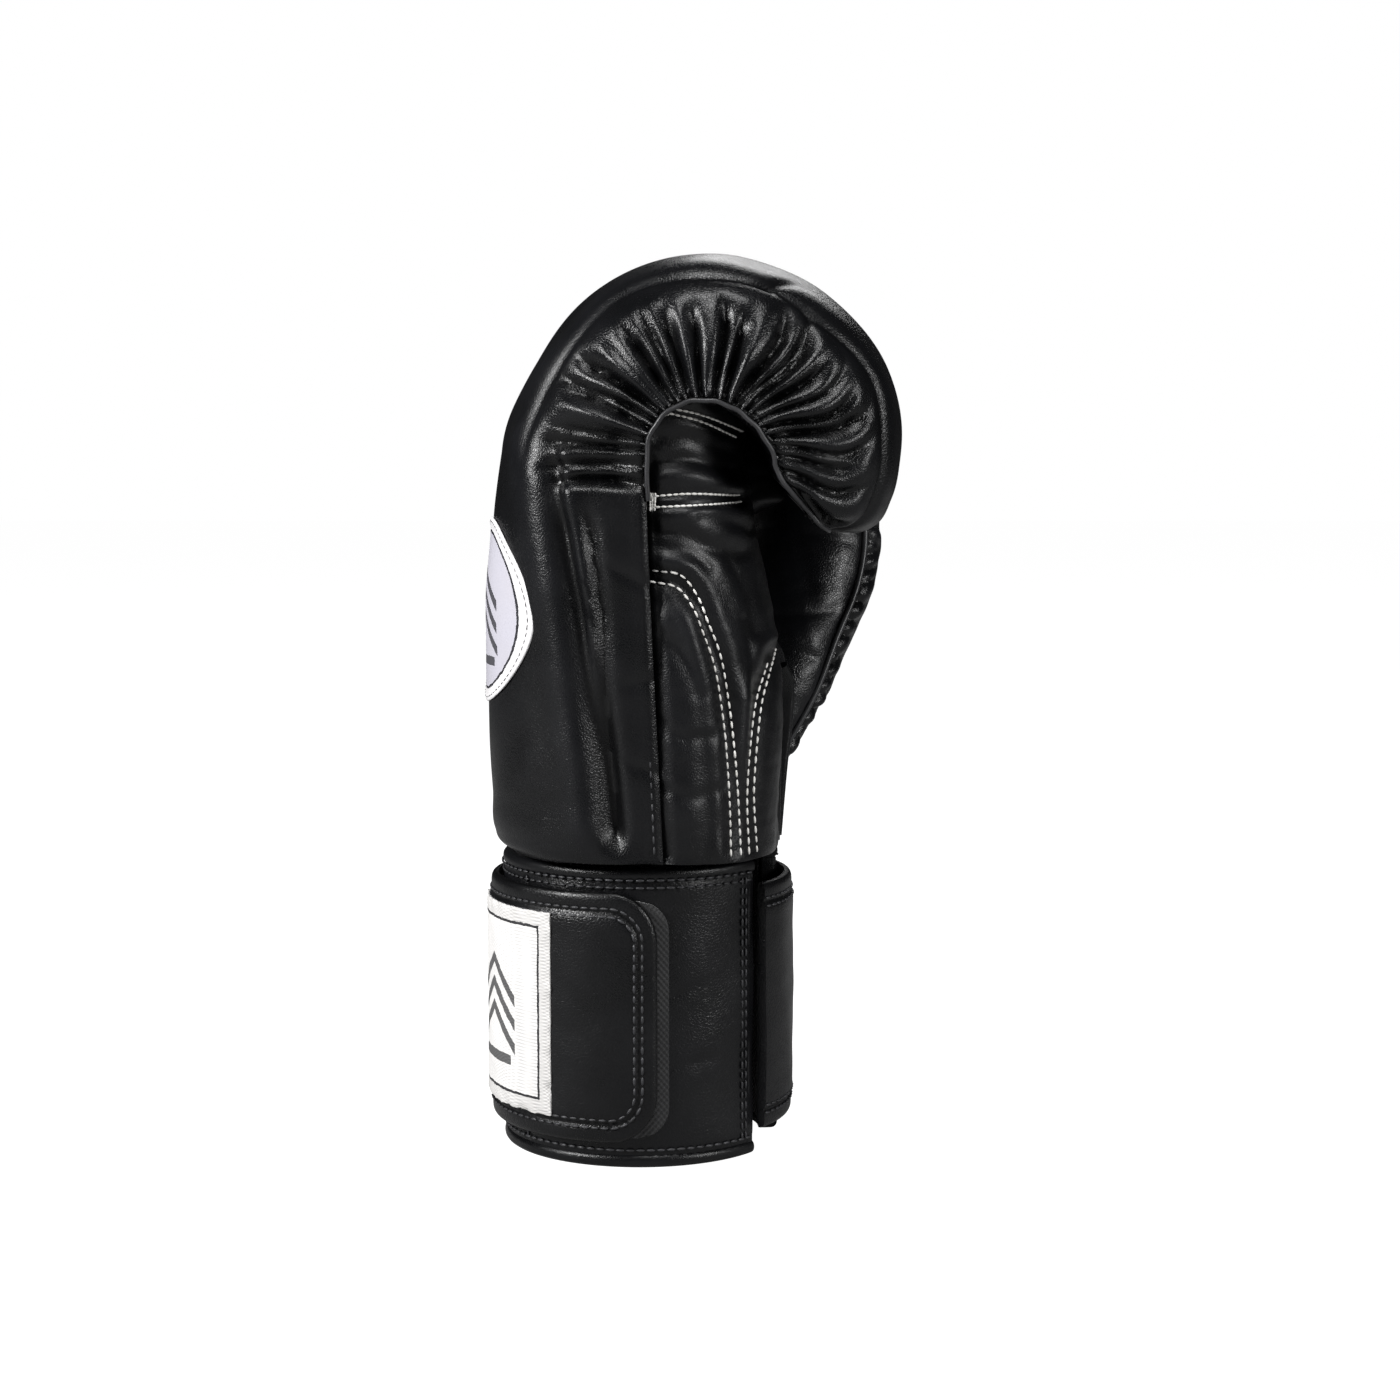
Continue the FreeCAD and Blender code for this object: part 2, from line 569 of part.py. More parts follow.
def finger_pieces():
    """The fingers beyond the fold."""
    outer = roll_stations()
    open_outer = turned_back(outer, CUT_TURN)
    open_outer[-1] = replace(open_outer[-1], angle=open_outer[-1].angle + TIP_LEATHER_TURN)
    foam_rows = list(outer)
    foam_rows[-1] = replace(foam_rows[-1], angle=foam_rows[-1].angle + TIP_PAD_TURN)
    room = turned_back(finger_room_stations(), CUT_TURN)
    trimmed = finger_room_stations()
    trimmed[0] = replace(trimmed[0], angle=FOLD_DEG - FOLD_GAP_DEG)
    lining_out = -(LINING + LAYER_GAP)
    wide = list(room)
    wide[-1] = replace(wide[-1], angle=wide[-1].angle - TIP_ROOM_TURN)
    lining_rows = list(trimmed)
    lining_rows[-1] = replace(lining_rows[-1], angle=lining_rows[-1].angle - TIP_LINING_TURN)
    return {
        "finger_leather": shell(outer, open_outer, 0.0, LEATHER),
        "finger_pad": envelope(foam_rows, LEATHER + LAYER_GAP).cut(envelope(wide, lining_out - LAYER_GAP, drop=CUT_DROP)),
        "finger_lining": envelope(lining_rows, lining_out).cut(envelope(room, 0.0, drop=CUT_DROP)),
        "finger_inner_panel": curl_band(
            CURL_R - CURL_PANEL_GAP - LEATHER, CURL_R - CURL_PANEL_GAP, CURL_END_DEG, FOLD_DEG - FOLD_GAP_DEG,
            LITTLE_EDGE + CURL_PANEL_IN, FIST_THUMB_EDGE - CURL_PANEL_IN),
        "finger_piping": curl_piping(CURL_END_DEG, FOLD_DEG - FOLD_GAP_DEG),
    }


def thumb_loft(inset):
    """The thumb's solid, inset all round."""
    rows = [(h, x, y, rx - inset, ry - inset) for h, x, y, rx, ry in THUMB_SHAPE if min(rx, ry) > inset + 1.0]
    return Part.makeLoft([oval_wire(*row) for row in rows], True, True)


def thumb_pieces():
    """The thumb's shell, foam and lining, kept clear of the hand and of the fist."""
    low = CURL_Z + (FIST_R - ROLL_UNDERSIDE) * math.sin(math.radians(ROLL_END_DEG))
    beside_fist = box((-100, -100, low), (200, FIST_THUMB_EDGE + FIST_SIDE_GAP, CURL_Z + 100))
    clear = envelope(palm_stations(), -THUMB_GAP, drop=30.0).fuse(beside_fist)
    clear = clear.fuse(envelope(back_stations(), -THUMB_GAP))
    room = thumb_loft(LEATHER + THUMB_FOAM + LINING + 2 * LAYER_GAP)
    passage = thumb_passage()
    skin = thumb_loft(0.0).cut(thumb_loft(LEATHER)).cut(clear).cut(passage)
    foam = thumb_loft(LEATHER + LAYER_GAP).cut(thumb_loft(LEATHER + LAYER_GAP + THUMB_FOAM))
    lining = thumb_loft(LEATHER + 2 * LAYER_GAP + THUMB_FOAM).cut(room)
    seam = THUMB_SHAPE[THUMB_SEAM_ROW][2]
    piping = thumb_loft(-THUMB_PIPING_PROUD).cut(thumb_loft(LEATHER)).cut(clear).cut(passage)
    half = THUMB_PIPING / 2
    return {
        "thumb_outer_leather": skin.common(between_y(seam + half + THUMB_SEAM_GAP, 200.0)),
        "thumb_inner_leather": skin.common(between_y(-200.0, seam - half - THUMB_SEAM_GAP)),
        "thumb_piping": piping.common(between_y(seam - half, seam + half)),
        "thumb_pad": foam.cut(clear).cut(passage),
        "thumb_lining": lining.cut(clear).cut(passage),
    }


def main():
    """Build every piece and write one STEP file each."""
    os.makedirs("parts", exist_ok=True)
    pieces = {}
    for group in (cuff_pieces, strap_pieces, hand_pieces, finger_pieces, thumb_pieces):
        pieces.update(group())
    for name, shape in pieces.items():
        shape.exportStep(f"parts/{name}.step")


main()
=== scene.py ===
"""Boxing glove for the right hand: shell, fingers, thumb, palm, cuff and strap, dressed in leather.

All work is in millimetres and is turned into metres when a mesh is made.
"""
import logging
import math
from dataclasses import dataclass, field
from enum import Enum
from typing import Callable, Iterable, Sequence

import bpy
import numpy as np
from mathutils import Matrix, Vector
from mathutils.bvhtree import BVHTree


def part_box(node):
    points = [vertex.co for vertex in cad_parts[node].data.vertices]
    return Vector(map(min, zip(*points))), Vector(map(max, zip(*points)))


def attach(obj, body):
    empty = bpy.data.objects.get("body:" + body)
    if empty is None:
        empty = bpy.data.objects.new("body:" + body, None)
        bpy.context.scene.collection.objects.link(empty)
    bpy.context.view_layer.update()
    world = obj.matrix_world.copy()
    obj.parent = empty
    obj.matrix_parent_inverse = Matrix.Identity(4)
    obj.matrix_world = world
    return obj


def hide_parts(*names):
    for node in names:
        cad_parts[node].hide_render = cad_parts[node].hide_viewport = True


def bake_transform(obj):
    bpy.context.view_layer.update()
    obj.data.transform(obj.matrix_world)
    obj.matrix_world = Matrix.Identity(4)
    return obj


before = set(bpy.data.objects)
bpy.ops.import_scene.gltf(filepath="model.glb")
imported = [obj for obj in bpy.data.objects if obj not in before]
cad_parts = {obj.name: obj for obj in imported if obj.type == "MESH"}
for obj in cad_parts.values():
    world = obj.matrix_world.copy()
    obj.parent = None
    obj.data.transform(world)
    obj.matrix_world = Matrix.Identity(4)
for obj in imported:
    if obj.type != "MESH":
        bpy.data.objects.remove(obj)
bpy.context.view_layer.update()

MM = 0.001
Array = np.ndarray
Material, Node, Socket = bpy.types.Material, bpy.types.Node, bpy.types.NodeSocket
Thing, Tree = bpy.types.Object, bpy.types.NodeTree
Feeds = dict[str | int, object]
Table = Sequence[tuple[float, float]]
Point = tuple[float, float, float]
Colour = tuple[float, float, float, float]

logging.basicConfig(level=logging.INFO, format="%(message)s")
log = logging.getLogger("glove")


class Side(Enum):
    """The two broad sides of the glove."""

    LITTLE = -1
    THUMB = 1


class Thread(Enum):
    """Thread colours, with their material names."""

    WHITE = "thread_white"
    BLACK = "thread_black"


def eased(table: Table, at: Array) -> Array:
    """Smooth curve through a table of places and values.

    Args:
        table: Rising places with their values.
        at: Places to read.

    Returns:
        Values, held level past the table's ends.
    """
    xs, ys = np.array(table, dtype=float).T
    slope = np.gradient(ys, xs)
    at = np.clip(np.asarray(at, dtype=float), xs[0], xs[-1])
    i = np.clip(np.searchsorted(xs, at) - 1, 0, len(xs) - 2)
    width = xs[i + 1] - xs[i]
    s = (at - xs[i]) / width
    rise = ys[i + 1] - ys[i]
    return (ys[i] + rise * (3 * s**2 - 2 * s**3)
            + width * (slope[i] * (s**3 - 2 * s**2 + s) + slope[i + 1] * (s**3 - s**2)))


def ramp(value: Array, start: float, end: float) -> Array:
    """Smooth step from 0 at start to 1 at end.

    Args:
        value: Values to step.
        start: Where the step is 0.
        end: Where the step is 1, on either side of start.

    Returns:
        Shares from 0 to 1.
    """
    s = np.clip((np.asarray(value, dtype=float) - start) / (end - start), 0.0, 1.0)
    return s * s * (3 - 2 * s)


def groove(distance: Array, width: float, depth: float, sharp: float = 2.0) -> Array:
    """Height of a valley across a distance.

    Args:
        distance: Distance from the valley's line.
        width: Half width.
        depth: Depth at the line.
        sharp: 2 is round, less is a sharper fold.

    Returns:
        Heights at or under 0.
    """
    return -depth * np.exp(-np.abs(distance / width) ** sharp)


def normals_of(grid: Array, wrap: bool = False) -> Array:
    """Unit normals of a grid of points.

    Args:
        grid: Points by row and column.
        wrap: True where the last column joins the first.

    Returns:
        Normals, turned by the order of rows and columns.
    """
    along = np.gradient(grid, axis=0)
    if wrap:
        across = np.roll(grid, -1, axis=1) - np.roll(grid, 1, axis=1)
    else:
        across = np.gradient(grid, axis=1)
    normal = np.cross(along, across)
    size = np.linalg.norm(normal, axis=2, keepdims=True)
    return normal / np.maximum(size, 1e-9)


def unevenness(points: Array, size: float, seed: int) -> Array:
    """Slow random swell over points, from waves in random directions.

    Args:
        points: Points, with X, Y and Z last.
        size: Usual length of a wave.
        seed: Seed of the waves.

    Returns:
        Values about 0, mostly within 1.
    """
    rng = np.random.default_rng(seed)
    total = np.zeros(points.shape[:-1])
    for _ in range(9):
        turn = rng.normal(size=3)
        turn /= np.linalg.norm(turn)
        wave = 2 * math.pi / (size * rng.uniform(0.6, 1.7))
        total += np.sin(points @ turn * wave + rng.uniform(0, 2 * math.pi))
    return total / 4.5


def linked(name: str, data: bpy.types.ID) -> Thing:
    """An object put in the scene.

    Args:
        name: Object name.
        data: Its mesh, light or camera.

    Returns:
        The object.
    """
    made = bpy.data.objects.new(name, data)
    bpy.context.scene.collection.objects.link(made)
    return made


def make_object(name: str, points: Array, faces: Iterable[Sequence[int]], sharp: float = 50.0) -> Thing:
    """A smooth-shaded mesh object from points in millimetres.

    Args:
        name: Object name.
        points: Points by row.
        faces: Corner numbers of each face.
        sharp: Angle in degrees past which an edge stays sharp.

    Returns:
        The linked object.
    """
    mesh = bpy.data.meshes.new(name)
    mesh.from_pydata((points.reshape(-1, 3) * MM).tolist(), [], faces)
    mesh.validate()
    mesh.shade_smooth()
    mesh.set_sharp_from_angle(angle=math.radians(sharp))
    return linked(name, mesh)


def grid_faces(rows: int, columns: int, wrap: bool = False, flip: bool = False) -> list[tuple[int, ...]]:
    """Quads of a grid of points numbered by row.

    Args:
        rows: Number of rows.
        columns: Number of columns.
        wrap: True where the last column joins the first.
        flip: True to turn every face over.

    Returns:
        Corner numbers of each quad.
    """
    index = np.arange(rows * columns).reshape(rows, columns)
    if wrap:
        index = np.hstack([index, index[:, :1]])
    corners = np.stack([index[:-1, :-1], index[1:, :-1], index[1:, 1:], index[:-1, 1:]], axis=-1)
    if flip:
        corners = corners[..., ::-1]
    return [tuple(face) for face in corners.reshape(-1, 4).tolist()]


def end_caps(rows: int, columns: int, flip: bool) -> list[tuple[int, ...]]:
    """Faces that close the first and the last row of a tube.

    Args:
        rows: Number of rows.
        columns: Number of columns.
        flip: True to turn the faces over.

    Returns:
        The face of the first row and the face of the last.
    """
    first = tuple(range(columns))
    last = tuple(range((rows - 1) * columns, rows * columns))
    return [first[::-1], last] if flip else [first, last[::-1]]


def outward(grid: Array, middle: Array, wrap: bool = False) -> tuple[Array, bool]:
    """Normals that point away from a middle, and whether the faces need turning for that.

    Args:
        grid: Points by row and column.
        middle: A point, or points that broadcast over the grid, on the inner side.
        wrap: True where the last column joins the first.

    Returns:
        The normals, and True if faces have to be flipped.
    """
    normal = normals_of(grid, wrap)
    flip = float(np.sum(normal * (grid - middle))) < 0
    return (-normal if flip else normal), flip


def grid_object(name: str, grid: Array, flip: bool, wrap: bool = False, skip: Array | None = None,
                sharp: float = 50.0) -> Thing:
    """An object from a grid of points.

    Args:
        name: Object name.
        grid: Points by row and column.
        flip: True to turn the faces over.
        wrap: True where the last column joins the first.
        skip: True for each quad that is left out.
        sharp: Angle in degrees past which an edge stays sharp.

    Returns:
        The linked object.
    """
    rows, columns = grid.shape[:2]
    faces = grid_faces(rows, columns, wrap, flip)
    if skip is not None:
        faces = [face for face, out in zip(faces, skip.reshape(-1).tolist()) if not out]
    return make_object(name, grid, faces, sharp)


def thicken(piece: Thing, thickness: float) -> None:
    """Gives a sheet its thickness on the inner side.

    Args:
        piece: The sheet.
        thickness: Thickness in millimetres.
    """
    wall = piece.modifiers.new("wall", "SOLIDIFY")
    wall.thickness = thickness * MM
    wall.offset = -1.0
    wall.use_even_offset = False


def paint(piece: Thing, material: Material) -> None:
    """Gives a piece one material in all its slots.

    Args:
        piece: The piece.
        material: The material.
    """
    if not piece.data.materials:
        piece.data.materials.append(material)
    for slot in piece.material_slots:
        slot.material = material


def store(piece: Thing, name: str, values: Array) -> None:
    """Stores a value for each point, for the materials.

    Args:
        piece: The piece.
        name: Attribute name.
        values: One value for each point.
    """
    layer = piece.data.attributes.new(name, "FLOAT", "POINT")
    layer.data.foreach_set("value", np.asarray(values, dtype=np.float32).reshape(-1))


def store_map(piece: Thing, values: Array) -> None:
    """Stores a UV map from one pair for each point.

    Args:
        piece: The piece.
        values: U and V for each point.
    """
    layer = piece.data.uv_layers.new(name="pattern")
    corners = np.empty(len(piece.data.loops), dtype=np.int32)
    piece.data.loops.foreach_get("vertex_index", corners)
    layer.data.foreach_set("uv", values.reshape(-1, 2)[corners].astype(np.float32).reshape(-1))


def smooth_path(points: Sequence[Sequence[float]], step: float = 1.0, closed: bool = False) -> Array:
    """Evenly spaced points on a smooth line through points.

    Args:
        points: The points that the line goes through.
        step: Spacing in millimetres.
        closed: True for a loop.

    Returns:
        The points, by row.
    """
    marks = np.array(points, dtype=float)
    if closed:
        marks = np.vstack([marks, marks[:1]])
    apart = np.linalg.norm(np.diff(marks, axis=0), axis=1) > 0.05
    marks = marks[np.concatenate([[True], apart])]
    run = np.concatenate([[0.0], np.cumsum(np.linalg.norm(np.diff(marks, axis=0), axis=1))])
    fine = np.linspace(0.0, run[-1], max(8, int(run[-1] / 0.4)))
    line = np.stack([eased(list(zip(run, marks[:, k])), fine) for k in range(marks.shape[1])], axis=1)
    length = np.concatenate([[0.0], np.cumsum(np.linalg.norm(np.diff(line, axis=0), axis=1))])
    even = np.linspace(0.0, length[-1], max(3, int(round(length[-1] / step)) + 1))
    return np.stack([np.interp(even, length, line[:, k]) for k in range(marks.shape[1])], axis=1)


def sweep(name: str, path: Array, up: Array, profile: Array, closed: bool = False,
          sharp: float = 50.0) -> Thing:
    """A closed profile carried along a path, with capped ends.

    Args:
        name: Object name.
        path: Points of the path.
        up: Direction of the profile's second axis at each point.
        profile: Profile points, across and up.
        closed: True where the path is a loop.
        sharp: Angle in degrees past which an edge stays sharp.

    Returns:
        The linked object.
    """
    if closed:
        tangent = np.roll(path, -1, axis=0) - np.roll(path, 1, axis=0)
    else:
        tangent = np.gradient(path, axis=0)
    tangent /= np.linalg.norm(tangent, axis=1, keepdims=True)
    across = np.cross(tangent, up)
    across /= np.linalg.norm(across, axis=1, keepdims=True)
    rise = np.cross(across, tangent)
    grid = (path[:, None, :] + across[:, None, :] * profile[None, :, :1]
            + rise[:, None, :] * profile[None, :, 1:])
    area = np.sum(profile[:, 0] * np.roll(profile[:, 1], -1) - np.roll(profile[:, 0], -1) * profile[:, 1])
    flip = bool(area < 0)
    rows, columns = grid.shape[:2]
    faces = grid_faces(rows, columns, wrap=True, flip=flip)
    if closed:
        last = (rows - 1) * columns
        for k in range(columns):
            after = (k + 1) % columns
            face = (last + k, k, after, last + after)
            faces.append(face[::-1] if flip else face)
    else:
        faces += end_caps(rows, columns, flip)
    return make_object(name, grid, faces, sharp)


def rounded(width: float, height: float, corner: float, steps: int = 4) -> Array:
    """Outline of a rectangle with round corners about its middle.

    Args:
        width: Size across.
        height: Size up.
        corner: Corner radius.
        steps: Spans in each corner.

    Returns:
        Outline points, turning one way.
    """
    outline = []
    for k, (sx, sy) in enumerate(((1, 1), (-1, 1), (-1, -1), (1, -1))):
        centre = (sx * (width / 2 - corner), sy * (height / 2 - corner))
        for j in range(steps + 1):
            turn = math.radians(90 * k + 90 * j / steps)
            outline.append((centre[0] + corner * math.cos(turn), centre[1] + corner * math.sin(turn)))
    return np.array(outline)


def round_cord(radius: float, sides: int = 10) -> Array:
    """Outline of a round cord.

    Args:
        radius: Cord radius.
        sides: Number of sides.

    Returns:
        Outline points.
    """
    turns = np.linspace(0, 2 * math.pi, sides, endpoint=False)
    return np.stack([radius * np.cos(turns), radius * np.sin(turns)], axis=1)


def on_ring(radius: Array, turn_deg: Array, z: Array) -> Array:
    """Points about the wrist's axis.

    Args:
        radius: Distance from the axis.
        turn_deg: Turn about the axis in degrees.
        z: Height.

    Returns:
        Points, with X, Y and Z last.
    """
    radius, turn, z = np.broadcast_arrays(radius, np.radians(turn_deg), z)
    return np.stack([radius * np.cos(turn), radius * np.sin(turn), z], axis=-1)


def box_mm(node: str) -> tuple[Array, Array]:
    """Lowest and highest corner of a node of the model, in millimetres.

    Args:
        node: Name of the node.

    Returns:
        The two corners.
    """
    low, high = (np.array(corner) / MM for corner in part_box(node))
    return low, high


def report(piece: Thing, body: str) -> None:
    """Logs a finished piece.

    Args:
        piece: The piece.
        body: What it moves with.
    """
    log.info("%s: %d faces, on %s", piece.name, len(piece.data.polygons), body)


class Nodes:
    """Adds and links the nodes of one tree."""

    def __init__(self, tree: Tree) -> None:
        """Keeps the tree.

        Args:
            tree: The tree to fill.
        """
        self.tree = tree

    def add(self, kind: str, feeds: Feeds | None = None, **settings: object) -> Node:
        """Adds a node.

        Args:
            kind: Node type.
            feeds: A value or an output for each input, by name or number.
            settings: Properties of the node.

        Returns:
            The node.
        """
        node = self.tree.nodes.new(kind)
        for name, value in settings.items():
            setattr(node, name, value)
        self.fill(node, feeds or {})
        return node

    def fill(self, node: Node, feeds: Feeds) -> None:
        """Links an output to each input, or sets the input's own value.

        Args:
            node: The node.
            feeds: A value or an output for each input, by name or number.
        """
        for key, item in feeds.items():
            if isinstance(item, Socket):
                self.tree.links.new(item, node.inputs[key])
            else:
                node.inputs[key].default_value = item

    def value(self, operation: str, first: object, second: object = None) -> Socket:
        """One step of arithmetic.

        Args:
            operation: Math operation.
            first: A number or an output.
            second: A number or an output.

        Returns:
            The result's socket.
        """
        feeds = {0: first} if second is None else {0: first, 1: second}
        return self.add("ShaderNodeMath", feeds, operation=operation).outputs[0]

    def spread(self, value: Socket, low: float, high: float,
               to_low: float, to_high: float) -> Socket:
        """Maps a range of values to another.

        Args:
            value: The value.
            low: Start of its range.
            high: End of its range.
            to_low: Result at the start.
            to_high: Result at the end.

        Returns:
            The result's socket.
        """
        feeds = {"Value": value, "From Min": low, "From Max": high, "To Min": to_low, "To Max": to_high}
        return self.add("ShaderNodeMapRange", feeds).outputs["Result"]

    def mixed(self, share: object, first: object, second: object) -> Socket:
        """A colour between two colours.

        Args:
            share: Share of the second colour, a number or an output.
            first: A colour or an output.
            second: A colour or an output.

        Returns:
            The colour's socket.
        """
        return self.add("ShaderNodeMix", {0: share, 6: first, 7: second}, data_type="RGBA").outputs[2]

    def noise(self, place: Socket, scale: float, detail: float = 3.0) -> Socket:
        """A cloudy value.

        Args:
            place: Where to read it.
            scale: Waves in each metre.
            detail: Number of finer layers.

        Returns:
            The value's socket.
        """
        feeds = {"Vector": place, "Scale": scale, "Detail": detail}
        return self.add("ShaderNodeTexNoise", feeds).outputs["Fac"]


def new_group(name: str, inputs: dict[str, float],
              outputs: Sequence[str]) -> tuple[Nodes, bpy.types.bpy_prop_collection, Node]:
    """A shader node group with number sockets.

    Args:
        name: Group name.
        inputs: Input names and their usual values, beside a vector named Place.
        outputs: Output names.

    Returns:
        The group's nodes, what it is given, by name, and the node that it leaves by.
    """
    tree = bpy.data.node_groups.new(name, "ShaderNodeTree")
    tree.interface.new_socket(name="Place", in_out="INPUT", socket_type="NodeSocketVector")
    for item, usual in inputs.items():
        tree.interface.new_socket(name=item, in_out="INPUT",
                                  socket_type="NodeSocketFloat").default_value = usual
    for item in outputs:
        tree.interface.new_socket(name=item, in_out="OUTPUT", socket_type="NodeSocketFloat")
    nodes = Nodes(tree)
    return nodes, nodes.add("NodeGroupInput").outputs, nodes.add("NodeGroupOutput")


def grain_group() -> Tree:
    """Leather grain: small pebbles parted by fine creases, with slow changes of gloss.

    Returns:
        The node group.
    """
    nodes, given, leave = new_group("leather_grain", {"Pebble": 900.0, "Crease": 1.0},
                                    ("Height", "Tone", "Pore"))
    place = given["Place"]
    bend = nodes.add("ShaderNodeTexNoise", {"Vector": place, "Scale": 160.0})
    shift = nodes.add("ShaderNodeVectorMath", {0: bend.outputs["Color"], "Scale": 0.0016},
                      operation="SCALE")
    moved = nodes.add("ShaderNodeVectorMath", {0: place, 1: shift.outputs[0]}, operation="ADD").outputs[0]
    pebble, crease = (
        nodes.spread(nodes.add("ShaderNodeTexVoronoi", {"Vector": moved, "Scale": scale},
                               feature="DISTANCE_TO_EDGE").outputs["Distance"], 0.0, width, 0.0, 1.0)
        for scale, width in ((given["Pebble"], 0.22), (190.0, 0.06)))
    creased = nodes.value("MULTIPLY", nodes.value("SUBTRACT", crease, 1.0), given["Crease"])
    nodes.fill(leave, {"Height": nodes.value("ADD", pebble, creased),
                       "Tone": nodes.noise(place, 38.0, 4.0),
                       "Pore": nodes.value("SUBTRACT", 1.0, pebble)})
    return nodes.tree


def weave_group() -> Tree:
    """Woven cloth from a pair of crossing waves.

    Returns:
        The node group.
    """
    nodes, given, leave = new_group("cloth_weave", {"Threads": 900.0}, ("Height", "Tone"))
    scaled = nodes.add("ShaderNodeVectorMath", {0: given["Place"], "Scale": given["Threads"]},
                       operation="SCALE")
    parts = nodes.add("ShaderNodeSeparateXYZ", {0: scaled.outputs[0]}).outputs
    flat = nodes.value("ADD", parts[0], parts[1])
    one = nodes.value("SINE", nodes.value("MULTIPLY", flat, 2 * math.pi))
    two = nodes.value("SINE", nodes.value("MULTIPLY", parts[2], 2 * math.pi))
    nodes.fill(leave, {"Height": nodes.value("MULTIPLY", one, two),
                       "Tone": nodes.noise(given["Place"], 70.0, 5.0)})
    return nodes.tree


class Groups:
    """The shared node groups, each made once."""

    made: dict[str, Tree] = {}

    @classmethod
    def get(cls, name: str, maker: Callable[[], Tree]) -> Tree:
        """The group of that name.

        Args:
            name: Key of the group.
            maker: Makes it the first time.

        Returns:
            The node group.
        """
        if name not in cls.made:
            cls.made[name] = maker()
        return cls.made[name]


def start_material(name: str) -> tuple[Material, Nodes, Node]:
    """A node material with its main shader.

    Args:
        name: Material name.

    Returns:
        The material, its nodes and the shader.
    """
    material = bpy.data.materials.new(name)
    material.use_nodes = True
    nodes = Nodes(material.node_tree)
    return material, nodes, material.node_tree.nodes["Principled BSDF"]


def bump(nodes: Nodes, shader: Node, height: Socket, depth: float, strength: float) -> None:
    """Puts a height on a shader's normal.

    Args:
        nodes: The material's nodes.
        shader: The shader.
        height: Height from 0 to 1.
        depth: Depth in millimetres.
        strength: Strength of the effect.
    """
    node = nodes.add("ShaderNodeBump", {"Strength": strength, "Distance": depth * MM, "Height": height})
    nodes.fill(shader, {"Normal": node.outputs[0]})


@dataclass(frozen=True)
class Leather:
    """A leather finish.

    Attributes:
        name: Material name.
        slot: Material slot of the record.
        colour: Colour of the hide.
        rubbed: Colour on raised and rubbed places.
        gloss: Roughness where smooth and where dull.
        pebble: Pebbles in each metre.
        depth: Depth of the grain in millimetres.
        crease: Share of the finer creases.
        coat: Share of clear finish.
    """

    name: str
    slot: str
    colour: Colour = (0.0022, 0.0023, 0.0027, 1.0)
    rubbed: Colour = (0.0062, 0.0065, 0.008, 1.0)
    gloss: tuple[float, float] = (0.22, 0.34)
    pebble: float = 1250.0
    depth: float = 0.045
    crease: float = 0.6
    coat: float = 0.05

    def build(self) -> Material:
        """Makes the material.

        Returns:
            The material.
        """
        material, nodes, shader = start_material(self.name)
        place = nodes.add("ShaderNodeTexCoord").outputs["Object"]
        grain = nodes.add("ShaderNodeGroup", node_tree=Groups.get("grain", grain_group))
        nodes.fill(grain, {"Place": place, "Pebble": self.pebble, "Crease": self.crease})
        relief = nodes.add("ShaderNodeAttribute", attribute_name="relief")
        raised = nodes.spread(relief.outputs["Fac"], 0.1, 1.6, 0.0, 0.7)
        # Painted shade: where the relief sinks into creases, grooves, seams and pleat valleys, the hide is
        # darkened towards 0.35 of its colour.
        crease_shade_share = nodes.spread(relief.outputs["Fac"], -1.8, -0.4, 1.0, 0.0)
        patchy = nodes.spread(grain.outputs["Tone"], 0.35, 0.7, 0.0, 0.35)
        worn = nodes.value("ADD", nodes.value("MULTIPLY", raised, grain.outputs["Tone"]), patchy)
        worn.node.use_clamp = True
        hide = nodes.mixed(worn, self.colour, self.rubbed)
        # Colour of the painted shade in the creases.
        crease_shade_colour = tuple(c * 0.35 for c in self.colour[:3]) + (1.0,)
        nodes.fill(shader, {"Base Color": nodes.mixed(nodes.value("MULTIPLY", crease_shade_share, 0.8), hide, crease_shade_colour)})
        gather = nodes.add("ShaderNodeAttribute", attribute_name="gather")
        dull = nodes.spread(grain.outputs["Tone"], 0.3, 0.7, self.gloss[0], self.gloss[1])
        shiny = nodes.value("MULTIPLY", gather.outputs["Fac"], -0.04)
        pores = nodes.value("MULTIPLY", grain.outputs["Pore"], 0.07)
        nodes.fill(shader, {"Roughness": nodes.value("ADD", nodes.value("ADD", dull, shiny), pores),
                            "Coat Weight": self.coat, "Coat Roughness": 0.28,
                            "Specular IOR Level": 0.26})
        bump(nodes, shader, grain.outputs["Height"], self.depth, 0.8)
        return material


@dataclass(frozen=True)
class Cloth:
    """A woven or fibrous finish.

    Attributes:
        name: Material name.
        slot: Material slot of the record.
        colour: Colour of the threads.
        gap: Colour between the threads.
        threads: Threads in each metre.
        depth: Depth of the weave in millimetres.
        sheen: Strength of the soft edge glow.
    """

    name: str
    slot: str
    colour: Colour
    gap: Colour
    threads: float = 900.0
    depth: float = 0.25
    sheen: float = 0.3

    def build(self) -> Material:
        """Makes the material.

        Returns:
            The material.
        """
        material, nodes, shader = start_material(self.name)
        place = nodes.add("ShaderNodeTexCoord").outputs["Object"]
        weave = nodes.add("ShaderNodeGroup", node_tree=Groups.get("weave", weave_group))
        nodes.fill(weave, {"Place": place, "Threads": self.threads})
        share = nodes.spread(weave.outputs["Height"], -1.0, 1.0, 0.0, 1.0)
        toned = nodes.value("MULTIPLY", share, nodes.spread(weave.outputs["Tone"], 0.3, 0.7, 0.7, 1.1))
        nodes.fill(shader, {"Base Color": nodes.mixed(toned, self.gap, self.colour),
                            "Roughness": nodes.spread(weave.outputs["Tone"], 0.3, 0.7, 0.72, 0.92),
                            "Sheen Weight": self.sheen})
        bump(nodes, shader, share, self.depth, 0.7)
        return material


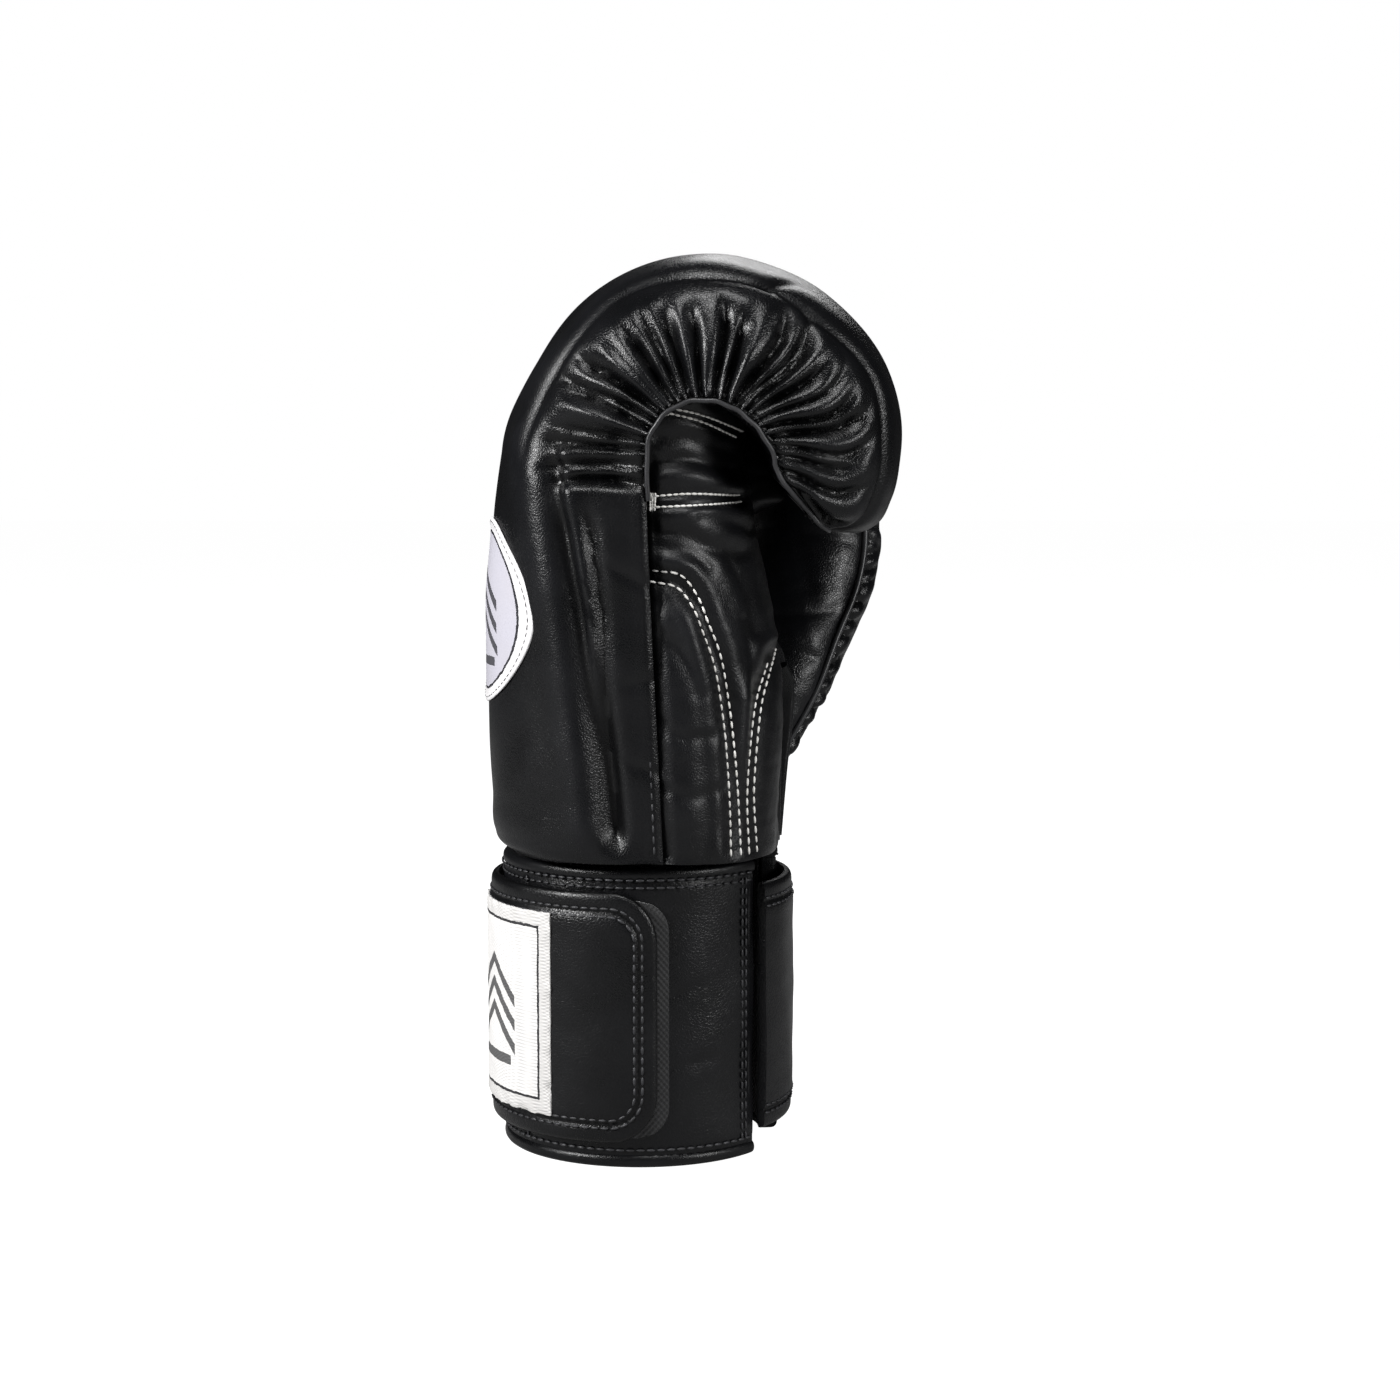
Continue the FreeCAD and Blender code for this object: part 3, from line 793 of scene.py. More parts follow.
@dataclass(frozen=True)
class Yarn:
    """Sewing thread.

    Attributes:
        name: Material name.
        slot: Material slot of the record.
        colour: Colour of the thread.
        soiled: Colour where it is handled.
    """

    name: str
    slot: str
    colour: Colour
    soiled: Colour

    def build(self) -> Material:
        """Makes the material.

        Returns:
            The material.
        """
        material, nodes, shader = start_material(self.name)
        place = nodes.add("ShaderNodeTexCoord").outputs["Object"]
        tone = nodes.noise(place, 220.0, 4.0)
        share = nodes.spread(tone, 0.35, 0.7, 0.0, 0.8)
        nodes.fill(shader, {"Base Color": nodes.mixed(share, self.colour, self.soiled),
                            "Roughness": nodes.spread(tone, 0.3, 0.7, 0.38, 0.6)})
        bump(nodes, shader, nodes.noise(place, 2600.0, 2.0), 0.12, 0.6)
        return material


@dataclass(frozen=True)
class Patch:
    """A printed or woven patch, drawn on the piece's own map: a frame round three chevrons over a bar.

    Attributes:
        name: Material name.
        slot: Material slot of the record.
        ground: Colour of the patch.
        ink: Colour of the frame and mark.
        edge: Colour outside the frame.
        round_patch: True for a round frame, False for a square one.
        threads: Threads in each metre, or 0 for a smooth patch.
    """

    name: str
    slot: str
    ground: Colour
    ink: Colour
    edge: Colour
    round_patch: bool
    threads: float

    def build(self) -> Material:
        """Makes the material.

        Returns:
            The material.
        """
        material, nodes, shader = start_material(self.name)
        coords = nodes.add("ShaderNodeTexCoord")
        place = coords.outputs["Object"]
        spot = nodes.add("ShaderNodeSeparateXYZ", {0: coords.outputs["UV"]})
        rough_edge = nodes.spread(nodes.noise(place, 420.0, 2.0), 0.3, 0.7, -0.0022, 0.0022)
        across = nodes.value("ADD", nodes.value("SUBTRACT", spot.outputs[0], 0.5), rough_edge)
        up = nodes.value("ADD", nodes.value("SUBTRACT", spot.outputs[1], 0.5), rough_edge)
        wide, tall = nodes.value("ABSOLUTE", across), nodes.value("ABSOLUTE", up)
        if self.round_patch:
            reach = nodes.value("SQRT", nodes.value(
                "ADD", nodes.value("MULTIPLY", across, across), nodes.value("MULTIPLY", up, up)))
        else:
            reach = nodes.value("MAXIMUM", wide, tall)
        frame_line = self.band(nodes, reach, 0.425, 0.007)
        inside = nodes.value("LESS_THAN", reach, 0.425)
        mark = self.chevrons(nodes, wide, up)
        ground = nodes.mixed(inside, self.edge, self.ground)
        tone = nodes.noise(place, 45.0, 4.0)
        aged = nodes.mixed(nodes.spread(tone, 0.4, 0.75, 0.0, 0.25), ground, (0.36, 0.34, 0.33, 1.0))
        inked = nodes.value("MAXIMUM", frame_line, nodes.value("MULTIPLY", mark, 0.9))
        nodes.fill(shader, {"Base Color": nodes.mixed(inked, aged, self.ink)})
        if self.threads:
            weave = nodes.add("ShaderNodeGroup", node_tree=Groups.get("weave", weave_group))
            nodes.fill(weave, {"Place": place, "Threads": self.threads})
            nodes.fill(shader, {"Roughness": nodes.spread(tone, 0.3, 0.7, 0.7, 0.9)})
            bump(nodes, shader, nodes.spread(weave.outputs["Height"], -1.0, 1.0, 0.0, 1.0), 0.2, 0.7)
        else:
            nodes.fill(shader, {"Roughness": nodes.spread(tone, 0.3, 0.7, 0.32, 0.5)})
            bump(nodes, shader, nodes.noise(place, 600.0, 3.0), 0.08, 0.5)
        return material

    @staticmethod
    def band(nodes: Nodes, value: Socket, middle: float, half: float) -> Socket:
        """1 within a distance of a middle value.

        Args:
            nodes: The material's nodes.
            value: The value.
            middle: Middle of the band.
            half: Half width of the band.

        Returns:
            The mask's socket.
        """
        return nodes.add("ShaderNodeMath", {0: value, 1: middle, 2: half}, operation="COMPARE").outputs[0]

    def chevrons(self, nodes: Nodes, wide: Socket, up: Socket) -> Socket:
        """Three nested chevrons over a bar.

        Args:
            nodes: The material's nodes.
            wide: Distance from the middle, across.
            up: Distance from the middle, upwards.

        Returns:
            The mask's socket.
        """
        slope = nodes.value("ADD", up, nodes.value("MULTIPLY", wide, 0.8))
        total = None
        for middle in (0.22, 0.10, -0.02):
            line = self.band(nodes, slope, middle, 0.028)
            total = line if total is None else nodes.value("MAXIMUM", total, line)
        shown = nodes.value("MULTIPLY", total, nodes.value("LESS_THAN", wide, 0.24))
        bar = nodes.value("MULTIPLY", self.band(nodes, up, -0.27, 0.025),
                          nodes.value("LESS_THAN", wide, 0.2))
        return nodes.value("MAXIMUM", shown, bar)


FINISHES = (
    Leather("shell_leather", "shell_leather"),
    Leather("palm_leather", "palm_leather", gloss=(0.25, 0.4), crease=0.7, coat=0.08),
    Leather("cuff_leather", "shell_leather", gloss=(0.25, 0.38), pebble=1000.0, depth=0.05),
    Leather("binding_leather", "binding_leather", gloss=(0.22, 0.36), pebble=1500.0, depth=0.03),
    Leather("piping_leather", "piping", colour=(0.012, 0.012, 0.013, 1.0), rubbed=(0.09, 0.09, 0.095, 1.0),
            gloss=(0.25, 0.42), pebble=1800.0, depth=0.02, coat=0.25),
    Cloth("lining_cloth", "lining", (0.014, 0.014, 0.016, 1.0), (0.004, 0.004, 0.005, 1.0), 700.0, 0.35),
    Cloth("loop_fabric", "loop_fabric", (0.012, 0.012, 0.013, 1.0), (0.003, 0.003, 0.004, 1.0), 480.0, 0.6,
          0.5),
    Cloth("hook_tape", "hook_tape", (0.016, 0.016, 0.018, 1.0), (0.004, 0.004, 0.005, 1.0), 620.0, 0.6,
          0.1),
    Yarn("thread_white", "thread", (0.88, 0.87, 0.84, 1.0), (0.66, 0.64, 0.6, 1.0)),
    Yarn("thread_black", "thread", (0.03, 0.03, 0.034, 1.0), (0.008, 0.008, 0.009, 1.0)),
    Patch("woven_label", "label", (0.74, 0.73, 0.72, 1.0), (0.02, 0.02, 0.022, 1.0),
          (0.62, 0.61, 0.6, 1.0), False, 900.0),
    Patch("vinyl_badge", "badge", (0.5, 0.49, 0.55, 1.0), (0.02, 0.02, 0.025, 1.0),
          (0.74, 0.73, 0.74, 1.0), True, 0.0),
)


class Finishes:
    """The materials, made once and given to the pieces; each finish's slot is kept beside it."""

    def __init__(self) -> None:
        """Makes every material."""
        self.made = {finish.name: finish.build() for finish in FINISHES}
        self.slots = {finish.name: finish.slot for finish in FINISHES}

    def dress(self, piece: Thing, finish: str) -> None:
        """Gives a piece its material.

        Args:
            piece: The piece.
            finish: Name of the finish.
        """
        paint(piece, self.made[finish])

    def fit(self, piece: Thing, finish: str, *bodies: str,
            fold: Sequence[Sequence[float]] | None = None, fill: float | None = None,
            nodes: Sequence[str] = ()) -> None:
        """Dresses a piece, joins it to its body or, where it has a fold, bakes its place into its mesh, hides
        the nodes that it stands for and logs it.

        Args:
            piece: The piece.
            finish: Name of the finish.
            *bodies: The body that it rides on, or the bodies before and after the fold.
            fold: Start and end of the bend, in metres.
            fill: How full a padded piece is; not used.
            nodes: Nodes that it stands for.
        """
        self.dress(piece, finish)
        if fold is None:
            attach(piece, *bodies)
        else:
            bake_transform(piece)
        if nodes:
            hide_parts(*nodes)
        report(piece, " and ".join(bodies))


class Stitcher:
    """Lays stitches along paths, each a short fat thread from one geometry tree.

    Attributes:
        shortest: Smallest stitch, for the usual one.
        longest: Largest stitch, for the usual one.
    """

    shortest: float = 0.88
    longest: float = 1.08

    def __init__(self, finishes: Finishes) -> None:
        """Builds the tree.

        Args:
            finishes: The materials.
        """
        self.finishes = finishes
        self.tree = bpy.data.node_groups.new("stitch_row", "GeometryNodeTree")
        self.sockets: dict[str, str] = {}
        self.build()

    def build(self) -> None:
        """Fills the tree: rows to curves, even points, one stitch on each point."""
        face = self.tree.interface
        face.new_socket(name="Geometry", in_out="INPUT", socket_type="NodeSocketGeometry")
        face.new_socket(name="Geometry", in_out="OUTPUT", socket_type="NodeSocketGeometry")
        for name, kind in (("Pitch", "Float"), ("Length", "Float"), ("Thickness", "Float"), ("Seed", "Int"),
                           ("Thread", "Material")):
            made = face.new_socket(name=name, in_out="INPUT", socket_type=f"NodeSocket{kind}")
            self.sockets[name] = made.identifier
        nodes = Nodes(self.tree)
        given = nodes.add("NodeGroupInput").outputs
        leave = nodes.add("NodeGroupOutput")
        curve = nodes.add("GeometryNodeMeshToCurve", {"Mesh": given["Geometry"]})
        even = nodes.add("GeometryNodeResampleCurve", mode="LENGTH")
        nodes.fill(even, {"Curve": curve.outputs["Curve"], "Length": given["Pitch"]})
        bead = nodes.add("GeometryNodeMeshUVSphere", {"Segments": 6, "Rings": 5, "Radius": 0.5})
        tangent = nodes.add("GeometryNodeInputTangent").outputs[0]
        turn = nodes.add("FunctionNodeAlignRotationToVector", {"Vector": tangent}, axis="Z")
        wide = given["Thickness"]
        size = nodes.add("ShaderNodeCombineXYZ", {0: wide, 1: wide, 2: given["Length"]})
        vary = nodes.add("FunctionNodeRandomValue", data_type="FLOAT")
        nodes.fill(vary, {2: self.shortest, 3: self.longest, "Seed": given["Seed"]})
        scaled = nodes.add("ShaderNodeVectorMath", {0: size.outputs[0], "Scale": vary.outputs[1]},
                           operation="SCALE")
        place = nodes.add("GeometryNodeInstanceOnPoints", {
            "Points": even.outputs["Curve"], "Instance": bead.outputs["Mesh"],
            "Rotation": turn.outputs["Rotation"], "Scale": scaled.outputs[0]})
        real = nodes.add("GeometryNodeRealizeInstances", {"Geometry": place.outputs["Instances"]})
        smooth = nodes.add("GeometryNodeSetShadeSmooth", {"Geometry": real.outputs["Geometry"]})
        dyed = nodes.add("GeometryNodeSetMaterial", {"Geometry": smooth.outputs["Geometry"],
                                                     "Material": given["Thread"]})
        nodes.fill(leave, {"Geometry": dyed.outputs["Geometry"]})

    def rows(self, name: str, paths: Sequence[Array], thread: Thread, pitch: float = 3.1,
             length: float = 2.5, thickness: float = 0.8, seed: int = 1) -> Thing:
        """Stitches along rows, as one plain mesh.

        Args:
            name: Object name.
            paths: Points of each row in millimetres.
            thread: Colour of the thread.
            pitch: Distance between stitches.
            length: Length of a stitch.
            thickness: Thickness of the thread.
            seed: Seed of the small differences between stitches.

        Returns:
            The linked object, not yet riding on a body.
        """
        points, edges = [], []
        for path in paths:
            first = len(points)
            points.extend((path * MM).tolist())
            edges.extend((first + k, first + k + 1) for k in range(len(path) - 1))
        mesh = bpy.data.meshes.new(name + "_path")
        mesh.from_pydata(points, edges, [])
        carrier = linked(name + "_path", mesh)
        modifier = carrier.modifiers.new("stitches", "NODES")
        modifier.node_group = self.tree
        material = self.finishes.made[thread.value]
        for key, value in (("Pitch", pitch * MM), ("Length", length * MM), ("Thickness", thickness * MM),
                           ("Seed", seed), ("Thread", material)):
            modifier[self.sockets[key]] = value
        bpy.context.view_layer.update()
        result = carrier.evaluated_get(bpy.context.evaluated_depsgraph_get())
        stitched = bpy.data.meshes.new_from_object(result)
        bpy.data.objects.remove(carrier)
        bpy.data.meshes.remove(mesh)
        made = linked(name, stitched)
        self.finishes.dress(made, thread.value)
        return made


@dataclass
class Pleat:
    """One gather in the leather.

    Attributes:
        middle: Place of its valley along the glove.
        width: Half width of the valley.
        depth: Depth of the valley.
        end: Turn from the base edge at which it has run out, in degrees.
        sag: How far its middle bows along the glove.
        lean: How far its outer end leans along the glove.
    """

    middle: float
    width: float
    depth: float
    end: float
    sag: float
    lean: float


@dataclass
class HandShape:
    """The run of dome-shaped sections from the wrist, over the back and knuckles, to the fingertips.

    A place along the run is counted from the hand's lower edge, straight up the hand and then round the
    finger curl at its arc radius. The turn across a section goes from the thumb side, 0, to the
    little-finger side, half a turn.
    """

    curl_inner: float = 20.2
    fist_radius: float = 64.0
    arc: float = 42.0
    power: float = 0.8
    tip_deg: float = -31.0
    thumb_narrowing: float = 10.0
    back_table: Table = ((0.0, 2.0), (2.0, 5.2), (6.0, 7.0), (18.0, 7.9), (48.0, 8.4), (82.0, 8.4),
                         (104.0, 6.8), (118.0, 5.0), (129.0, 3.6), (143.7, 0.2), (158.3, -1.2),
                         (173.0, -0.3), (191.3, 0.1), (209.6, -0.6), (222.8, -0.9), (234.6, -0.2),
                         (247.8, -0.1), (261.0, -1.5), (271.2, -3.0), (278.6, -6.0), (281.5, -10.0),
                         (283.7, -16.0))
    base_table: Table = ((0.0, 14.7), (129.0, 20.2), (262.0, 20.6), (271.0, 22.5), (278.6, 28.0),
                         (283.7, 39.0))
    taper_table: Table = ((0.0, 0.0), (264.0, 0.0), (271.0, 1.0), (278.6, 3.6), (283.7, 10.8))
    curl: Array = field(init=False)
    lower: float = field(init=False)
    little: float = field(init=False)
    thumb: float = field(init=False)
    length: float = field(init=False)

    def __post_init__(self) -> None:
        """Reads the places from the model."""
        low, high = box_mm("finger_base_panel")
        self.curl = np.array([low[0] + self.curl_inner, high[2] - self.curl_inner])
        low, high = box_mm("back_leather")
        self.lower, self.little, self.thumb = low[2], low[1], high[1]
        self.length = self.curl[1] - self.lower

    @property
    def end(self) -> float:
        """Place of the fingertips."""
        return self.length + math.radians(180.0 - self.tip_deg) * self.arc

    def place_at(self, angle_deg: float) -> float:
        """Place along the run at a turn about the curl.

        Args:
            angle_deg: Turn about the curl, 180 towards the back and 90 at the top.

        Returns:
            The place.
        """
        return self.length + math.radians(180.0 - angle_deg) * self.arc

    def sections(self, place: Array) -> dict[str, Array]:
        """Where each section stands and how wide and tall it is.

        Args:
            place: Places along the run.

        Returns:
            Origin and direction in X and Z, base, top, low and high side.
        """
        place = np.asarray(place, dtype=float)
        turn = math.pi - np.clip((place - self.length) / self.arc, 0.0, None)
        narrow = self.thumb_narrowing * np.clip((place - self.length) / (math.pi / 3 * self.arc), 0.0, 1.0)
        taper = eased(self.taper_table, place)
        return {
            "x": np.full_like(place, self.curl[0]), "z": self.lower + np.minimum(place, self.length),
            "dx": np.cos(turn), "dz": np.sin(turn), "base": eased(self.base_table, place),
            "top": self.fist_radius + eased(self.back_table, place),
            "low": self.little + taper, "high": self.thumb - narrow - taper,
        }

    def points(self, place: Array, turn: Array, inset: Array | float = 0.0,
               lift: Array | float = 0.0) -> Array:
        """Points of the dome.

        Args:
            place: Places along the run.
            turn: Turns across, in radians.
            inset: How far the section is drawn in.
            lift: How far the whole section is raised from its middle line.

        Returns:
            Points, with X, Y and Z last.
        """
        place, turn, inset, lift = np.broadcast_arrays(place, turn, inset, lift)
        s = self.sections(place)
        half = (s["high"] - s["low"]) / 2 - inset
        middle = (s["high"] + s["low"]) / 2
        cosine, sine = np.cos(turn), np.sin(turn)
        y = middle + half * np.sign(cosine) * np.abs(cosine) ** self.power
        reach = s["base"] + (s["top"] - inset - s["base"]) * np.abs(sine) ** self.power + lift
        return np.stack([s["x"] + s["dx"] * reach, y, s["z"] + s["dz"] * reach], axis=-1)

    def reach(self, place: Array, turn: Array) -> Array:
        """Distance of a dome point from the curl's axis or the line below it.

        Args:
            place: Places along the run.
            turn: Turns across, in radians.

        Returns:
            Distances.
        """
        s = self.sections(place)
        return s["base"] + (s["top"] - s["base"]) * np.abs(np.sin(turn)) ** self.power

    def at_y(self, place: Array, y: Array, out: Array | float = 0.0) -> Array:
        """Points of the dome at a distance across.

        Args:
            place: Places along the run.
            y: Distance across.
            out: How far the points stand off.

        Returns:
            Points, with X, Y and Z last.
        """
        s = self.sections(place)
        share = (y - (s["high"] + s["low"]) / 2) / ((s["high"] - s["low"]) / 2)
        cosine = np.sign(share) * np.abs(share) ** (1 / self.power)
        return self.points(place, np.arccos(np.clip(cosine, -1, 1)), 0.0, out)

    @staticmethod
    def swell(points: Array) -> Array:
        """Slow swelling of the padding, the same for the leather and for what is sewn to it.

        Args:
            points: Points on the dome.

        Returns:
            Heights.
        """
        return 0.45 * unevenness(points, 34.0, 5)

    def fold_line(self) -> tuple[Point, Point]:
        """Start and end of the bend where the fingers fold away from the hand, in metres.

        Returns:
            The two points.
        """
        x, z = self.curl
        return ((x + 8.4) * MM, 0.0, (z + 15.9) * MM), ((x + 25.0) * MM, 0.0, (z + 13.4) * MM)


@dataclass
class Section:
    """A section of the glove, which builds and dresses its own pieces.

    Attributes:
        shape: The run of sections that the hand is laid out on.
        finishes: The materials.
        stitcher: Makes the stitches.
    """

    shape: HandShape
    finishes: Finishes
    stitcher: Stitcher


@dataclass
class Shell(Section):
    """The padded leather of the back, knuckles and fingers, gathered round the finger curl."""

    wall: float = 2.2
    pleat_spacing: float = 7.2
    first_pleat: float = 119.0
    ring_deg: float = 50.0
    outer_fold: Table = ((0.0, 30.5), (6.0, 31.0), (53.0, 36.5), (91.0, 43.0), (129.0, 50.0), (146.0, 53.0))
    inner_fold: Table = ((0.0, 29.0), (12.0, 29.6), (53.0, 33.3), (81.0, 34.0), (110.0, 38.0),
                         (130.0, 41.0))

    def pleats(self, side: Side) -> list[Pleat]:
        """The gathers of one side.

        Args:
            side: Which side.

        Returns:
            The gathers.
        """
        rng = np.random.default_rng(11 if side is Side.LITTLE else 23)
        rows = []
        place = self.first_pleat + 3 * rng.uniform()
        while place < self.shape.end - 3:
            falling = ramp(place, self.shape.place_at(95), self.shape.place_at(50))
            rows.append(Pleat(place, rng.uniform(1.9, 3.0), rng.uniform(3.2, 5.6), rng.uniform(38, 54),
                              falling * rng.uniform(3, 7) + (1 - falling) * rng.uniform(-1.5, 2.5),
                              rng.uniform(-4.0, 2.0) - 3.0 * falling))
            place += self.pleat_spacing * rng.uniform(0.7, 1.35)
        return rows

    def relief(self, place: Array, turn: Array, points: Array) -> tuple[Array, Array]:
        """Height of the surface over its plain dome.

        Args:
            place: Places along the run.
            turn: Turns across, in radians.
            points: The plain dome's points.

        Returns:
            Heights, and how gathered the leather is, from 0 to 1.
        """
        shape = self.shape
        reach = shape.reach(place, turn)
        height = shape.swell(points)
        gathered = np.zeros_like(height)
        rng = np.random.default_rng(3)
        for side in Side:
            edge = np.degrees(turn if side is Side.THUMB else math.pi - turn)
            near = ramp(edge, 90.0, 60.0)
            pinch = 0.45 + 0.55 * ramp(edge, 0.0, 9.0)
            for pleat in self.pleats(side):
                bow = pleat.sag * np.sin(np.clip(edge / self.ring_deg, 0, 1) * math.pi)
                line = pleat.middle + bow + pleat.lean * (edge / self.ring_deg) ** 2
                fade = ramp(edge, pleat.end, pleat.end - 20.0) * pinch * near
                height += groove(place - line, pleat.width, pleat.depth, 1.35) * fade
            zone = ramp(place, self.first_pleat - 8, self.first_pleat + 6) * ramp(edge, 50.0, 36.0)
            fine = np.zeros_like(height)
            for _ in range(4):
                wave = 2 * math.pi / rng.uniform(5.5, 12.0)
                fine += np.sin(place * wave + 0.02 * edge * rng.uniform(-3, 3) + rng.uniform(0, 6.3))
            height += 0.22 * fine * zone * ramp(edge, 44.0, 20.0)
            height += 0.9 * zone * ramp(edge, 2.0, 14.0)
            gathered = np.maximum(gathered, zone)
            round_curl = ramp(place, self.shape.length - 6, self.shape.length + 12)
            wobble = 1.6 * np.sin(place / 13.0 + 1.0) + 1.1 * np.sin(place / 5.3)
            height += groove(edge - self.ring_deg - wobble, 2.4, 0.95, 1.7) * round_curl
            height += 0.7 * np.exp(-((edge - self.ring_deg - 9) / 7.0) ** 2) * round_curl
            notch = self.shape.place_at(69) + (edge - 54.0) * 0.35
            height += groove(place - notch, 2.2, 1.5, 1.5) * ramp(edge, 46, 52) * ramp(edge, 68, 58)
            height += self.long_folds(place, edge, reach) * near
        return height, gathered

    def long_folds(self, place: Array, edge: Array, reach: Array) -> Array:
        """The two folds that run up the back's side, and the roll of padding between them and the seam.

        Args:
            place: Places along the run.
            edge: Turn from the base edge in degrees.
            reach: Distance of each point from the curl's line.

        Returns:
            Heights.
        """
        low = ramp(place, 1.0, 12.0)
        wander = 0.5 * np.sin(place / 24.0) + 0.25 * np.sin(place / 9.0 + 2.0)
        outer = reach - eased(self.outer_fold, place) - wander
        inner = reach - eased(self.inner_fold, place) + 0.6 * wander
        high = ramp(place, 142.0, 122.0)
        height = groove(outer, 4.0, 3.2, 1.7) * low * high * (1 - 0.4 * ramp(place, 104.0, 116.0))
        height += groove(inner, 2.2, 2.4, 1.7) * low * ramp(place, 118.0, 102.0)
        height += 1.7 * np.exp(-((outer + inner) / 8.0) ** 2) * ramp(place, 30.0, 70.0) * high
        height += 1.1 * np.exp(-((outer + 3.0) / 2.2) ** 2) * low * high * ramp(place, 40.0, 70.0)
        height += 2.2 * np.exp(-((outer - 8.5) / 6.0) ** 2) * low * high
        for start, slope, end in ((88.0, 0.5, 30.0), (58.0, -0.25, 27.0), (30.0, 0.3, 26.0),
                                  (118.0, 0.2, 32.0)):
            line = place - start - slope * (reach - 20.0)
            height += groove(line, 1.6, 0.7, 1.5) * ramp(reach, end + 4, end - 3) * low
        return height * ramp(edge, 75.0, 55.0)

    def surface(self) -> tuple[Array, bool, Array, Array]:
        """The gathered surface.

        Returns:
            Points by row and column, True if its faces have to be flipped, heights, and the gathered share.
        """
        shape = self.shape
        places = np.concatenate([
            np.full(5, 0.0), np.arange(0.0, 8.0, 0.7), np.arange(8.0, 100.0, 1.35),
            np.arange(100.0, shape.end, 0.72), np.full(6, shape.end)])
        inset = np.concatenate([[11.0, 7.5, 4.5, 2.4, 0.9], np.zeros(len(places) - 11),
                                [0.5, 1.3, 2.4, 3.4, 4.1, 4.4]])
        under = np.concatenate([[1.3, 0.6, 0.1, -0.3, -0.3], np.zeros(len(places) - 5)])
        over = np.concatenate([np.zeros(len(places) - 6), [0.5, 1.0, 1.5, 1.8, 2.0, 2.05]])
        turns = np.radians(np.concatenate([
            np.linspace(0, 58, 44, endpoint=False), np.linspace(58, 122, 26, endpoint=False),
            np.linspace(122, 180, 45)]))
        place, turn = np.meshgrid(places + over, turns, indexing="ij")
        plain = shape.points(place, turn, inset[:, None] * np.ones_like(turn))
        plain[..., 2] += under[:, None] + 0.5
        height, gathered = self.relief(place, turn, plain)
        height *= (1 - ramp(inset, 0.0, 4.0))[:, None]
        middle = shape.points(place, np.full_like(turn, math.pi / 2)) * 0.35
        middle = middle + shape.points(place, turn * 0) * 0.325
        middle += shape.points(place, turn * 0 + math.pi) * 0.325
        normal, flip = outward(plain, middle)
        seam = 0.5 * ramp(np.degrees(np.minimum(turn, math.pi - turn)), 4.0, 0.0)
        return plain + normal * (height + seam)[..., None], flip, height, gathered

    def build(self) -> None:
        """Makes the shell with its seam cords, the liner of the curl and the badge."""
        start, end = self.shape.fold_line()
        points, flip, height, gathered = self.surface()
        piece = grid_object("fist_shell", points, flip)
        store(piece, "relief", height)
        store(piece, "gather", gathered)
        thicken(piece, self.wall)
        self.finishes.fit(piece, "shell_leather", "hand", "fingers", fold=(start, end), fill=0.8,
                          nodes=("back_leather", "back_pad", "finger_leather", "finger_pad"))
        self.liner(start, end)
        self.cords(start, end)
        self.badge()

    def liner(self, start: Sequence[float], end: Sequence[float]) -> None:
        """The leather inside the finger curl, round to the underside of the fingertips.

        Args:
            start: Start of the finger fold.
            end: End of the finger fold.
        """
        shape = self.shape
        places = np.arange(shape.place_at(176), shape.end + 1.2, 1.1)
        shares = np.linspace(0, 1, 46)
        place, share = np.meshgrid(places, shares, indexing="ij")
        s = shape.sections(place)
        low, high = s["low"] + 1.2, s["high"] - 1.2
        y = low + (high - low) * share
        edge = np.minimum(y - low, high - y)
        puff = 2.0 * (1 - np.exp(-edge / 6.0))
        rng = np.random.default_rng(41)
        for _ in range(30):
            middle = rng.uniform(places[0], places[-1])
            width, depth = rng.uniform(1.2, 2.4), rng.uniform(0.6, 1.5)
            line = place - middle - rng.uniform(-0.2, 0.2) * edge
            puff += groove(line, width, depth, 1.5) * ramp(edge, 22.0, 2.0)
        reach = s["base"] - 0.2 - puff * ramp(place, shape.end + 1, shape.end - 8)
        grid = np.stack([s["x"] + s["dx"] * reach, y, s["z"] + s["dz"] * reach], axis=-1)
        inside = np.stack([s["x"] + s["dx"] * 60, y, s["z"] + s["dz"] * 60], axis=-1)
        _, flip = outward(grid, inside)
        piece = grid_object("curl_liner", grid, flip)
        # Relief is stored 1.5 lower, so the leather material paints shade on the liner inside the curl,
        # darkest near its edges and in its wrinkles.
        store(piece, "relief", puff - 1.5)
        thicken(piece, 1.2)
        self.finishes.fit(piece, "palm_leather", "hand", "fingers", fold=(start, end),
                          nodes=("finger_base_panel", "finger_inner_panel"))

    def cords(self, start: Sequence[float], end: Sequence[float]) -> None:
        """The piping in the seam round the curl, on both sides.

        Args:
            start: Start of the finger fold.
            end: End of the finger fold.
        """
        shape = self.shape
        for side, name in ((Side.LITTLE, "curl_piping_little"), (Side.THUMB, "curl_piping_thumb")):
            places = np.arange(shape.length - 14.0, shape.end + 0.1, 1.0)
            s = shape.sections(places)
            y = s["low"] - 0.2 if side is Side.LITTLE else s["high"] + 0.2
            reach = s["base"] - 0.7 + 0.2 * np.sin(places / 3.1)
            run = np.stack([s["x"] + s["dx"] * reach, y, s["z"] + s["dz"] * reach], axis=-1)
            across = np.linspace(0.02, 0.75, 12)
            tips = shape.points(np.full(12, shape.end + 1.0),
                                math.pi - across if side is Side.LITTLE else across)
            path = smooth_path(np.vstack([run[::4], run[-1:], tips[3::3]]), 1.2)
            toward = np.tile([0.0, 1.0, 0.0], (len(path), 1))
            piece = sweep(name, path, toward, round_cord(0.75))
            self.finishes.fit(piece, "piping_leather", "hand", "fingers", fold=(start, end),
                              nodes=("fist_piping", "finger_piping") if side is Side.LITTLE else ())

